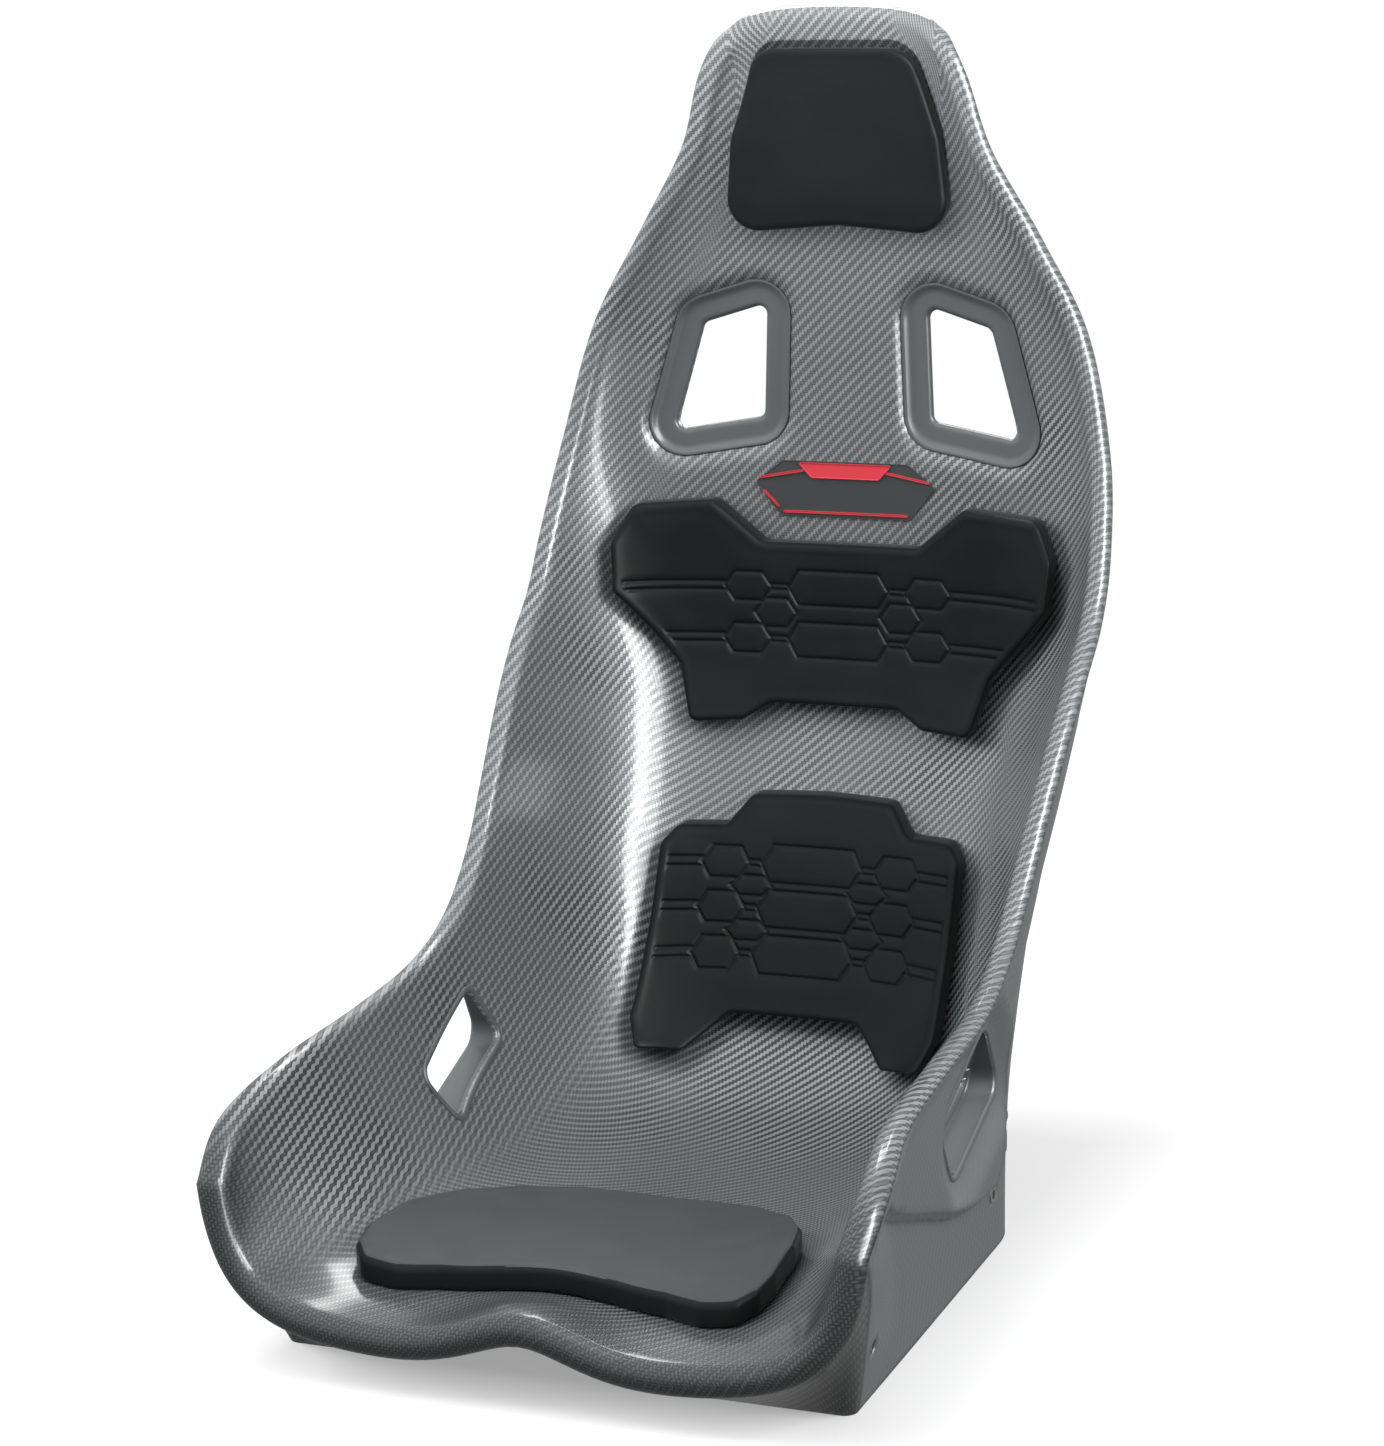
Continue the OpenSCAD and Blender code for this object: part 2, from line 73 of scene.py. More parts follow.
# Outer skin by height: where the side starts to turn, the middle of the back, and half its width
SIDE_Y = [[0, 66], [60, 66], [112, 68], [168, 72], [209, 84], [263, 104], [298, 136], [333, 174]]
BACK_Y = [
    [0, 172], [38, 182], [75, 218], [135, 260], [210, 295], [285, 330], [352, 354],
    [425, 361], [510, 362], [600, 362], [675, 362], [740, 362], [800, 357], [840, 343],
]
SIDE_X = [
    [343, 215], [382, 217], [416, 216], [460, 213], [525, 205], [607, 186],
    [672, 152], [738, 116], [797, 97], [830, 77],
]
STEP_Z = [
    [-330, 150], [-250, 138], [-180, 105], [-106, 79], [-50, 60], [18, 50], [50, 56],
    [66, 76], [76, 112], [83, 165], [91, 235], [108, 290], [136, 343],
]
POD_LOW, POD_TOP, POD_LEAN = 250.0, 343.0, 0.07
SWOOSH_LOW = 110.0  # where the step behind the slot starts to fade out upward

# Outlines on the shell: x, z on the back; y, z on the sides; x, y on the seat
SHOULDER_SLOT = [[63, 628], [66, 539], [138, 527], [114, 612]]
LAP_SLOT = [[34, 163], [56, 122], [-36, 90], [-58, 127]]
HEAD_PAD = [[-60, 819], [60, 819], [82, 752], [89, 681], [0, 688], [-89, 681], [-82, 752]]
SHOULDER_HALF = [
    [0, 447], [62, 447], [100, 479], [161, 475], [175, 447], [172, 409], [124, 352],
    [112, 310], [72, 312], [50, 325], [0, 325],
]
LUMBAR_HALF = [
    [0, 262], [56, 260], [73, 238], [109, 238], [119, 226], [120, 108], [111, 88],
    [78, 84], [50, 108], [0, 108],
]
SEAT_HALF = [
    [0, -257], [40, -257], [78, -262], [106, -273], [130, -273], [141, -258], [144, -235],
    [139, -185], [124, -130], [100, -82], [66, -52], [30, -44], [0, -45],
]
BADGE = [[-72, 491], [-50, 508], [50, 508], [72, 491], [52, 465], [-52, 465]]
INLAY = [[-38, 507], [38, 507], [27, 495], [-27, 495]]

# Mesh fineness
ROWS_PER_STATION = 12
TUB_COLS = 150
RIM_STEPS = 12
APRON_ROWS = 26


# ------------ curves and outlines
def smooth(v):
    v = np.clip(v, 0.0, 1.0)
    return v * v * (3 - 2 * v)


def mix(a, b, t):
    return a + (b - a) * t


def columns(*parts):
    return np.stack(parts, axis=-1)


def spline_rows(rows, s):
    """Catmull-Rom through evenly numbered rows."""
    ends = np.vstack([2 * rows[:1] - rows[1:2], rows, 2 * rows[-1:] - rows[-2:-1]])
    i = np.clip(np.floor(s).astype(int), 0, len(rows) - 2)
    t = (s - i)[..., None]
    a, b, c, d = ends[i], ends[i + 1], ends[i + 2], ends[i + 3]
    return 0.5 * (2 * b + (c - a) * t + (2 * a - 5 * b + 4 * c - d) * t**2 + (3 * b - a - 3 * c + d) * t**3)


def curve(table, x):
    """A smooth curve through a table of x, value pairs, flat beyond its ends."""
    xs, ys = np.array(table, float).T
    slope = np.gradient(ys, xs)
    flat = np.concatenate([[True], (np.diff(ys)[:-1] * np.diff(ys)[1:]) <= 0, [True]])
    slope[flat] = 0
    x = np.clip(x, xs[0], xs[-1])
    i = np.clip(np.searchsorted(xs, x, side="right") - 1, 0, len(xs) - 2)
    h = xs[i + 1] - xs[i]
    t = (x - xs[i]) / h
    return (
        (2 * t**3 - 3 * t**2 + 1) * ys[i] + (t**3 - 2 * t**2 + t) * h * slope[i]
        + (3 * t**2 - 2 * t**3) * ys[i + 1] + (t**3 - t**2) * h * slope[i + 1]
    )


def mirror_half(half):
    return half + [[-x, y] for x, y in half[-2:0:-1]]


def rounded(points, radius, step=1.5):
    """A closed outline with rounded corners, counter-clockwise, as points about a step apart."""
    p = np.array(points, float)
    q = np.roll(p, -1, axis=0)
    if np.sum(p[:, 0] * q[:, 1] - q[:, 0] * p[:, 1]) <= 0:
        p = p[::-1]
    before, after = np.roll(p, 1, axis=0), np.roll(p, -1, axis=0)
    line = []
    for a, b, c in zip(before, p, after):
        to_a, to_c = a - b, c - b
        la, lc = np.linalg.norm(to_a), np.linalg.norm(to_c)
        to_a, to_c = to_a / la, to_c / lc
        half = 0.5 * acos(np.clip(to_a @ to_c, -1, 1))
        reach = min(radius / max(tan(half), 1e-3), 0.48 * la, 0.48 * lc)
        if half > radians(88):
            line.append(b)
            continue
        r = reach * tan(half)
        centre = b + (to_a + to_c) / np.linalg.norm(to_a + to_c) * r / sin(half)
        start, end = b + to_a * reach - centre, b + to_c * reach - centre
        angle = atan2(start[0] * end[1] - start[1] * end[0], start @ end)
        turns = max(4, int(abs(angle) * r / step) + 1)
        for k in range(turns + 1):
            c, s = cos(angle * k / turns), sin(angle * k / turns)
            line.append(centre + [start[0] * c - start[1] * s, start[0] * s + start[1] * c])
    return evenly(np.array(line), step)


def evenly(line, step):
    """A closed line resampled at even steps."""
    closed = np.vstack([line, line[:1]])
    at = np.concatenate([[0], np.cumsum(np.linalg.norm(np.diff(closed, axis=0), axis=1))])
    keep = np.concatenate([[True], np.diff(at) > 1e-9])
    n = max(8, int(at[-1] / step))
    where = np.linspace(0, at[-1], n + 1)[:-1]
    return np.stack([np.interp(where, at[keep], closed[keep, k]) for k in range(closed.shape[1])], axis=1)


def outline_normals(line):
    """Outward unit normals of a counter-clockwise outline."""
    t = np.roll(line, -1, axis=0) - np.roll(line, 1, axis=0)
    t = t / np.linalg.norm(t, axis=1)[:, None]
    return columns(t[:, 1], -t[:, 0])


def to_segments(points, starts, ends):
    """Distance from each point to the nearest of some segments, and the nearest place on it."""
    best = np.full(len(points), 1e9)
    place_on = np.zeros_like(points)
    run = ends - starts
    length2 = np.maximum(np.sum(run * run, axis=1), 1e-12)
    for k in range(0, len(points), 3000):
        p = points[k:k + 3000, None, :]
        t = np.clip(np.sum((p - starts) * run, axis=2) / length2, 0, 1)
        near = starts + t[..., None] * run
        d = np.linalg.norm(p - near, axis=2)
        i = np.argmin(d, axis=1)
        rows = np.arange(len(i))
        best[k:k + 3000] = d[rows, i]
        place_on[k:k + 3000] = near[rows, i]
    return best, place_on


def inside(points, line):
    """Whether each point lies inside a closed outline."""
    result = np.zeros(len(points), bool)
    a, b = line, np.roll(line, -1, axis=0)
    for k in range(0, len(points), 4000):
        p = points[k:k + 4000]
        above = (a[:, 1] > p[:, 1:2]) != (b[:, 1] > p[:, 1:2])
        rise = np.where(b[:, 1] == a[:, 1], 1e-9, b[:, 1] - a[:, 1])
        cross = (b[:, 0] - a[:, 0]) * (p[:, 1:2] - a[:, 1]) / rise + a[:, 0]
        result[k:k + 4000] = np.sum(above & (p[:, 0:1] < cross), axis=1) % 2 == 1
    return result


def outside_by(points, line):
    """Distance outside a closed outline, negative within it."""
    d, _ = to_segments(points, line, np.roll(line, -1, axis=0))
    return np.where(inside(points, line), -d, d)


# ------------ the tub and its rolled rim
def tub(s, u):
    """The inner face of the tub: s runs from the lip to the head, u from the left rim to the right one."""
    r = spline_rows(STATIONS, s)
    a = np.abs(u)
    near, mid, far = (1 - a) ** 2, 2 * r[..., 3] * a * (1 - a), a**2
    total = near + mid + far
    x = np.sign(u) * (mid * r[..., 2] + far * r[..., 4]) / total
    y = ((near + mid) * r[..., 0] + far * r[..., 5]) / total
    z = ((near + mid) * r[..., 1] + far * r[..., 6]) / total
    z = z + LIP_HUMP * np.exp(-(x / 52) ** 2 - (s / 1.1) ** 2)
    return columns(x, y, z)


def unit(v):
    return v / np.maximum(np.linalg.norm(v, axis=-1, keepdims=True), 1e-9)


def tub_slopes(s, u, h):
    """How the tub runs along s and along u, measured over a short step either way."""
    s0, s1 = np.maximum(s - h, 0), np.minimum(s + h, LAST)
    u0, u1 = np.maximum(u - h, -1), np.minimum(u + h, 1)
    return (tub(s1, u) - tub(s0, u)) / (s1 - s0)[..., None], (tub(s, u1) - tub(s, u0)) / (u1 - u0)[..., None]


def tub_normal(s, u):
    """Unit normal of the tub, away from the driver."""
    return unit(np.cross(*tub_slopes(s, u, 0.02)))


def find_on_tub(a, b, axes, s, u):
    """The point of the tub where two of its coordinates take given values, and the normal there."""
    target = columns(a, b)
    for _ in range(FIND_STEPS):
        ds, du = (d[..., axes] for d in tub_slopes(s, u, 0.01))
        e = target - tub(s, u)[..., axes]
        det = ds[..., 0] * du[..., 1] - ds[..., 1] * du[..., 0]
        det = np.where(np.abs(det) < 1e-6, 1e-6, det)
        step_s = (e[..., 0] * du[..., 1] - e[..., 1] * du[..., 0]) / det
        step_u = (ds[..., 0] * e[..., 1] - ds[..., 1] * e[..., 0]) / det
        s = np.clip(s + np.clip(step_s, -0.8, 0.8), 0, LAST)
        u = np.clip(u + np.clip(step_u, -0.12, 0.12), -1, 1)
    return tub(s, u), tub_normal(s, u)


def on_back(x, z):
    """The tub behind a point of the back."""
    s = np.interp(z, STATIONS[BEND:, 1], np.arange(BEND, LAST + 1))
    return find_on_tub(x, z, [0, 2], s, np.clip(x / 260, -0.8, 0.8))


def on_seat(x, y):
    """The tub under a point of the seat."""
    s = np.interp(y, STATIONS[:BEND, 0], np.arange(BEND))
    return find_on_tub(x, y, [0, 1], s, np.clip(x / 260, -0.8, 0.8))


def on_side(y, z):
    """The right wall of the tub beside a point."""
    s = np.interp(y, STATIONS[:BEND, 5], np.arange(BEND))
    return find_on_tub(y, z, [1, 2], s, np.full(np.shape(y), 0.8))


S_ROWS = np.linspace(0, LAST, LAST * ROWS_PER_STATION + 1)
U_COLS = np.linspace(-1, 1, TUB_COLS + 1)
GRID_S, GRID_U = np.meshgrid(S_ROWS, U_COLS, indexing="ij")
GRID_P = tub(GRID_S, GRID_U)
GRID_N = tub_normal(GRID_S, GRID_U)
NS, NU = GRID_S.shape

# The rim as one loop: lip, right side, top, left side
LOOP_I, LOOP_J = np.array(
    [(0, j) for j in range(NU - 1)] + [(i, NU - 1) for i in range(NS - 1)]
    + [(NS - 1, j) for j in range(NU - 1, 0, -1)] + [(i, 0) for i in range(NS - 1, 0, -1)]
).T
RIM_P, RIM_N = GRID_P[LOOP_I, LOOP_J], GRID_N[LOOP_I, LOOP_J]
RIM_RADIUS = RIM_R + RIM_FRONT_R * np.exp(-(S_ROWS[LOOP_I] / 2) ** 2)


def ring_mean(values):
    """Values round a closed line, averaged over a few neighbours."""
    turns = np.arange(-9, 10)
    share = np.exp(-0.5 * (turns / 3) ** 2)
    return sum(np.roll(values, k, axis=0) * w for k, w in zip(turns, share)) / share.sum()


RIM_RUN = ring_mean(unit(np.roll(RIM_P, -1, axis=0) - np.roll(RIM_P, 1, axis=0)))
RIM_T = unit(np.cross(RIM_N, unit(RIM_RUN)))  # outward from the rim, along the tub


def rim_at(index, angle, inset=0.0):
    """Points of the rolled rim at some places of its loop, turned by an angle, inset from its surface."""
    r = RIM_RADIUS[index][:, None]
    m = sin(angle) * RIM_T[index] - cos(angle) * RIM_N[index]
    return RIM_P[index] + r * RIM_N[index] + (r - inset) * m


# ------------ mesh helpers
def place(points):
    """Stations' millimetres to metres in the part's own frame."""
    return (np.asarray(points, float) - [0, DATUM_Y, 0]) * MM


def grid_faces(rows, cols):
    i, j = np.meshgrid(np.arange(rows - 1), np.arange(cols - 1), indexing="ij")
    a = i * cols + j
    return columns(a, a + 1, a + cols + 1, a + cols).reshape(-1, 4)


def strip(a, b):
    """Faces between two rings of vertex numbers of equal length."""
    return columns(a[:-1], b[:-1], b[1:], a[1:])


def ring_strip(a, b):
    """The same between two closed rings."""
    return strip(np.append(a, a[0]), np.append(b, b[0]))


def add_object(name, data):
    obj = bpy.data.objects.new(name, data)
    bpy.context.scene.collection.objects.link(obj)
    return obj


def add_piece(name, points, faces, body, material, replaces=(),
              weave=None, fade=None, turn=None, mirrored=False, thickness=0.0):
    """A smooth-shaded mesh that rides on a body, without its unused points. thickness is in millimetres."""
    used = np.unique([v for f in faces for v in f])
    renumber = np.full(len(points), -1)
    renumber[used] = np.arange(len(used))
    points = np.asarray(points, float)[used]
    faces = [[int(renumber[v]) for v in f] for f in faces]
    if mirrored:
        points[:, 0] *= -1
        faces = [f[::-1] for f in faces]
    mesh = bpy.data.meshes.new(name)
    mesh.from_pydata(place(points).tolist(), [], faces)
    mesh.validate()
    if weave is not None and len(mesh.vertices) == len(used):
        laid = np.asarray(weave)[used] * [MM, MM, 1]
        # fade is painted shade on the lip and apron, stored as the third value of the side weave
        fade, turn = (np.zeros(len(used)) if v is None else v[used] for v in (fade, turn))
        side = side_weave(points, fade, turn)
        for key, values in (("weave", laid), ("weave_side", side)):
            mesh.attributes.new(key, "FLOAT_VECTOR", "POINT").data.foreach_set("vector", values.ravel())
    mesh.shade_smooth()
    mesh.materials.append(material)
    obj = add_object(name, mesh)
    if thickness:
        wall = obj.modifiers.new("wall", "SOLIDIFY")
        wall.thickness = thickness * MM
        wall.offset = -1
    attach(obj, body)
    if replaces:
        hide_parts(*replaces)
    return obj


def cut_hole(points, normals, faces, line, axes, where):
    """Takes out the faces inside an outline, of those that where picks, and brings the new edge onto it."""
    flat = points[:, axes]
    centre = np.mean(points[faces], axis=1)
    gone = np.zeros(len(faces), bool)
    candidates = np.where(where(centre))[0]
    gone[candidates] = inside(centre[candidates][:, axes], line)
    edge = np.intersect1d(np.unique(faces[gone]), np.unique(faces[~gone]))
    _, near = to_segments(flat[edge], line, np.roll(line, -1, axis=0))
    other = 3 - sum(axes)
    move = near - flat[edge]
    n = normals[edge]
    facing = np.where(np.abs(n[:, other]) < 0.2, 0.2 * np.sign(n[:, other] + 1e-9), n[:, other])
    slide = -(n[:, axes[0]] * move[:, 0] + n[:, axes[1]] * move[:, 1]) / facing
    points[np.ix_(edge, axes)] = near
    points[edge, other] += np.clip(slide, -3, 3)
    return faces[~gone]


def cut_slots(points, normals, faces, in_back, in_side):
    """Cuts an outline out of the upper back, and some outlines out of the side, right and left."""
    for side in (1, -1):
        faces = cut_hole(points, normals, faces, in_back * [side, 1], [0, 2],
                         lambda c: (c[:, 1] > 250) & (c[:, 2] > 400))
        for line in in_side:
            faces = cut_hole(points, normals, faces, line, [1, 2], lambda c, side=side: c[:, 0] * side > 120)
    return faces


# ------------ materials
class Shader:
    """A node material built up one node at a time."""

    def __init__(self, name):
        self.material = bpy.data.materials.new(name)
        self.material.use_nodes = True
        tree = self.material.node_tree
        tree.nodes.clear()
        self.new, self.link = tree.nodes.new, tree.links.new
        output = self.new("ShaderNodeOutputMaterial")
        self.surface = self.new("ShaderNodeBsdfPrincipled")
        self.link(self.surface.outputs[0], output.inputs["Surface"])

    def feed(self, node, inputs):
        """Links or sets a node's inputs. i0 is its first input, and any other key is an input's name."""
        for key, value in inputs.items():
            socket = node.inputs[int(key[1:]) if key[0] == "i" else key.replace("_", " ")]
            if isinstance(value, bpy.types.NodeSocket):
                self.link(value, socket)
            else:
                socket.default_value = value

    def set(self, **values):
        self.feed(self.surface, values)

    def node(self, kind, settings=None, **inputs):
        n = self.new(kind)
        for key, value in (settings or {}).items():
            setattr(n, key, value)
        self.feed(n, inputs)
        return n

    def math(self, operation, a, b=0.0, c=0.0):
        return self.node("ShaderNodeMath", {"operation": operation}, i0=a, i1=b, i2=c).outputs[0]

    def clamp(self, value, low, high):
        return self.math("MINIMUM", self.math("MAXIMUM", value, low), high)

    def add(self, a, b):
        return self.math("ADD", a, b)

    def sub(self, a, b):
        return self.math("SUBTRACT", a, b)

    def mul(self, a, b):
        return self.math("MULTIPLY", a, b)

    def split(self, vector):
        return self.node("ShaderNodeSeparateXYZ", Vector=vector).outputs

    def between(self, low, high, factor):
        """A colour between two colours."""
        return self.node("ShaderNodeMix", {"data_type": "RGBA"}, i0=factor, i6=low, i7=high).outputs[2]

    def on_object(self):
        return self.node("ShaderNodeTexCoord").outputs["Object"]

    def noise(self, scale, detail, roughness=0.5):
        n = self.node("ShaderNodeTexNoise", Vector=self.on_object(), Scale=scale, Detail=detail,
                      Roughness=roughness)
        return n.outputs[0]

    def bump(self, height, strength, distance):
        return self.node("ShaderNodeBump", Strength=strength, Distance=distance, Height=height).outputs[0]


def grey(value, tint=0.0):
    """A grey, a little cooler by tint."""
    return (value * (1 - tint), value, value * (1 + tint * 0.4), 1.0)


TOW = 2.1 * MM  # width of one tow of the weave


def twill(s, where):
    """Height of a 2 by 2 twill, and how far the upright tow is on top, at a place in the weave."""
    axes = s.split(where)
    p, q = s.math("DIVIDE", axes[0], TOW), s.math("DIVIDE", axes[1], TOW)
    i, j = s.math("FLOOR", p), s.math("FLOOR", q)
    fp, fq = s.sub(p, i), s.sub(q, j)
    k = s.math("FLOORED_MODULO", s.sub(i, j), 4.0)
    upright = s.math("LESS_THAN", k, 1.5)
    level = s.sub(1.0, upright)
    across = s.add(s.mul(upright, fp), s.mul(level, fq))
    along_up = s.mul(upright, s.add(k, s.sub(1.0, fq)))
    along_level = s.mul(level, s.add(s.sub(k, 2.0), fp))
    along = s.mul(s.add(along_up, along_level), 0.5)

    def arch(share, power):
        return s.math("POWER", s.math("MAXIMUM", s.math("SINE", s.mul(share, pi)), 0.0), power)

    return s.mul(arch(across, 0.6), arch(along, 0.5)), upright


def carbon(name, dark, light, contrast, coat, coat_roughness, bump):
    """Twill carbon under a clear coat. contrast is how far the two tow directions differ in colour: a painted
    sheen standing in for how each direction reflects light.
    """
    s = Shader(name)
    laid, side = (s.node("ShaderNodeAttribute", {"attribute_name": key}).outputs["Vector"]
                  for key in ("weave", "weave_side"))
    wall, lip_shade = s.split(laid)[2], s.split(side)[2]
    laid_height, laid_upright = twill(s, laid)
    side_height, side_upright = twill(s, side)

    def either(a, b):
        return s.add(s.mul(a, s.sub(1.0, wall)), s.mul(b, wall))

    height, upright = either(laid_height, side_height), either(laid_upright, side_upright)
    # painted sheen: the colour difference of the tows is varied in soft patches by noise, and it fades where
    # the lip is painted in shade
    cloud = s.noise(7.0, 2.0)
    far = s.mul(s.sub(cloud, 0.33), 3.0)
    strength = s.mul(s.mul(s.clamp(far, 0.45, 1.0), contrast), s.sub(1.0, lip_shade))
    # painted sheen: the upright tows lighter, the level ones darker
    painted_tow_sheen = s.mul(s.sub(upright, 0.5), strength)
    # painted shade on the tows: their crowns lighter, the dips between them darker
    painted_crown_shade = s.mul(s.sub(height, 0.65), 0.4 * contrast)
    # painted shade: the tone is lowered where the lip and apron are painted dark
    level = s.sub(0.5, s.mul(lip_shade, 0.45))
    tone = s.add(s.add(painted_tow_sheen, painted_crown_shade), level)
    s.set(Base_Color=s.between(dark, light, s.clamp(tone, 0.0, 1.0)))
    s.set(Roughness=s.sub(0.5, s.mul(upright, 0.1)))
    s.set(Metallic=0.3, Coat_Weight=coat, Coat_Roughness=coat_roughness, Normal=s.bump(height, bump, 0.0003))
    return s.material


def satin(name, colour, roughness, coat):
    """A plain satin finish with a fine grain and faint clouds."""
    s = Shader(name)
    grainy = s.noise(900.0, 2.0)
    cloud = s.noise(14.0, 3.0)
    darker = tuple(c * 0.8 for c in colour[:3]) + (1.0,)
    s.set(Base_Color=s.between(darker, colour, cloud), Coat_Weight=coat, Coat_Roughness=0.12)
    s.set(Roughness=s.add(roughness - 0.06, s.mul(grainy, 0.12)))
    s.set(Normal=s.bump(grainy, 0.12, 0.0001))
    return s.material


def microfibre(name, dark, light, roughness, specular):
    """Suede-like cover: fine nap, worn a little lighter in clouds."""
    s = Shader(name)
    nap = s.noise(2600.0, 3.0, 0.6)
    cloud = s.noise(22.0, 4.0, 0.6)
    tone = s.add(s.mul(cloud, 0.7), s.mul(nap, 0.3))
    s.set(Base_Color=s.between(dark, light, tone), Sheen_Weight=0.06, Sheen_Roughness=0.35)
    s.set(Roughness=s.add(roughness - 0.05, s.mul(nap, 0.1)), Specular_IOR_Level=specular)
    s.set(Normal=s.bump(nap, 0.25, 0.00025))
    return s.material


def cells(name, dark, light, scale, feature, depth, height, roughness, sheen=0.0):
    """Dark pits between light cells: the pores of foam, or the tiny loops of tape."""
    s = Shader(name)
    pits = s.node("ShaderNodeTexVoronoi", {"feature": feature}, Vector=s.on_object(), Scale=scale).outputs[0]
    s.set(Base_Color=s.between(grey(dark), grey(light), pits), Roughness=roughness, Sheen_Weight=sheen)
    s.set(Normal=s.bump(pits, depth, height))
    return s.material


def metal(name, tone, roughness):
    """Turned or rolled metal with faint scratches."""
    s = Shader(name)
    stretched = s.node("ShaderNodeMapping", Vector=s.on_object(), Scale=(40.0, 900.0, 900.0)).outputs[0]
    lines = s.node("ShaderNodeTexNoise", Vector=stretched, Scale=1.0, Detail=3.0).outputs[0]
    s.set(Base_Color=s.between(grey(tone * 0.85), grey(tone), lines), Metallic=1.0)
    s.set(Roughness=s.add(roughness, s.mul(lines, 0.15)), Normal=s.bump(lines, 0.1, 0.0001))
    return s.material


CARBON_IN = carbon("carbon_inner", grey(0.02, 0.08), grey(0.25, 0.06), 1.0, 0.7, 0.15, 0.35)
CARBON_OUT = carbon("carbon_outer", grey(0.085, 0.07), grey(0.15, 0.06), 0.12, 0.8, 0.18, 0.05)
SLOT_SATIN = satin("slot_satin", grey(0.075, 0.08), 0.42, 0.3)
PAD_COVER = microfibre("pad_microfibre", grey(0.003, 0.12), grey(0.009, 0.12), 0.42, 0.16)
# painted light: a lighter copy of the pad microfibre for the seat pad's upward faces, standing in for the
# light from above
SEAT_TOP_LIT_COVER = microfibre("seat_microfibre_top_lit", grey(0.02, 0.1), grey(0.05, 0.1), 0.6, 0.25)
PAD_FOAM = cells("pad_foam", 0.015, 0.06, 520.0, "F1", 0.8, 0.0006, 0.95)
LOOP_TAPE = cells("loop_tape_fabric", 0.012, 0.048, 900.0, "SMOOTH_F1", 0.9, 0.0004, 0.9, 0.3)
HOOK_TAPE = cells("hook_tape_fabric", 0.02, 0.08, 900.0, "SMOOTH_F1", 0.9, 0.0004, 0.9, 0.3)
INSERT_STEEL = metal("insert_steel", 0.62, 0.25)
PLATE_ALLOY = metal("plate_alloy", 0.55, 0.35)
BADGE_DARK = satin("badge_dark", grey(0.034, 0.12), 0.35, 0.4)
BADGE_RED = satin("badge_red", (0.5, 0.03, 0.045, 1.0), 0.4, 0.2)


# ------------ front skin
RECESS_DEPTH = 10.0  # how far the tub is pressed back round a shoulder slot
RECESS_IN, RECESS_OUT = 13.0, 27.0  # where that press is full and where it ends, out from the opening
REAR_FLARE, LAP_FLARE = 9.0, 6.0  # how much wider a shoulder slot and a lap slot are at the outer skin
LAP_LAND = 2.0  # how far behind the inner lip the flat land of a lap slot lies
LAP_DISH = 9.0  # how far the outer skin is pressed in round a lap slot
LAP_DISH_OUT, LAP_DISH_REAR = 36.0, 86.0  # where that press ends: out from the opening, and towards the back
LAP_ROOM = 6.5  # room for both skins there
SHOULDER_LINE = rounded(SHOULDER_SLOT, 7)
LAP_LINE = rounded(LAP_SLOT, 8)
SHOULDER_REAR = SHOULDER_LINE + outline_normals(SHOULDER_LINE) * REAR_FLARE
LAP_REAR = LAP_LINE + outline_normals(LAP_LINE) * LAP_FLARE


def recess(points):
    """How far the tub is pressed back round the shoulder slots, for points on either side."""
    flat = columns(np.abs(points[:, 0]), points[:, 2])
    depth = np.zeros(len(points))
    near = (points[:, 1] > 250) & (flat[:, 1] > 470) & (flat[:, 1] < 690)
    out = outside_by(flat[near], SHOULDER_LINE)
    depth[near] = RECESS_DEPTH * smooth((RECESS_OUT - out) / (RECESS_OUT - RECESS_IN))
    return depth


def lengths_along(points, axis):
    """Running lengths along one axis of a grid of points."""
    d = np.linalg.norm(np.diff(points, axis=axis), axis=-1)
    total = np.cumsum(d, axis=axis)
    return np.concatenate([np.zeros_like(np.take(total, [0], axis=axis)), total], axis=axis)


def laid_weave(points, wall):
    """The weave of a grid of points: lengths across from its middle and up it, and the walls' share."""
    cols = points.shape[1]
    mid = slice(cols // 2, cols // 2 + 1)
    across = lengths_along(points, 1)
    up = np.repeat(lengths_along(points[:, mid], 0), cols, axis=1)
    return columns(across - across[:, mid], up, wall)


LEFT_LEAN, RIGHT_LEAN, WALL_START = 0.32, 0.7, -312.0  # how the weave leans on the walls, and from which y on
LIP_PAINTED_SHADE, LIP_SHADE_REACH = 0.9, 1.15  # how dark the painted shade on the lip and the apron below it is, which also hides the weave there, and up to which station it reaches
GRID_WEAVE = laid_weave(GRID_P, smooth((np.abs(GRID_U) - 0.42) / 0.22))


def side_weave(points, fade, turn):
    """The weave of the walls and the rolled rim, with the painted shade of the lip and apron (fade) as its
    third value. turn is 1 under the lip.
    """
    x, y, z = points.T
    lean = np.where(x > 0, mix(RIGHT_LEAN, -LEFT_LEAN, turn), LEFT_LEAN) * np.clip(x / 80, -1, 1)
    return columns((x - lean * (y - WALL_START)) * MM, z * MM, fade)


def rim_weave():
    """The weave at the rim's edge, and the directions in it of a step outward."""
    e_across = unit(np.gradient(GRID_P, axis=1))[LOOP_I, LOOP_J]
    e_up = unit(np.gradient(GRID_P, axis=0))[LOOP_I, LOOP_J]
    out = columns(np.sum(RIM_T * e_across, axis=1), np.sum(RIM_T * e_up, axis=1))
    return GRID_WEAVE[LOOP_I, LOOP_J], np.concatenate([unit(out), np.zeros((len(out), 1))], axis=1)


CORNER_R = 9.0  # rounding of the base's front corners
ARCH_END, ARCH_EASE = 97, 26  # half width of the arch between the feet, and how much of it slopes


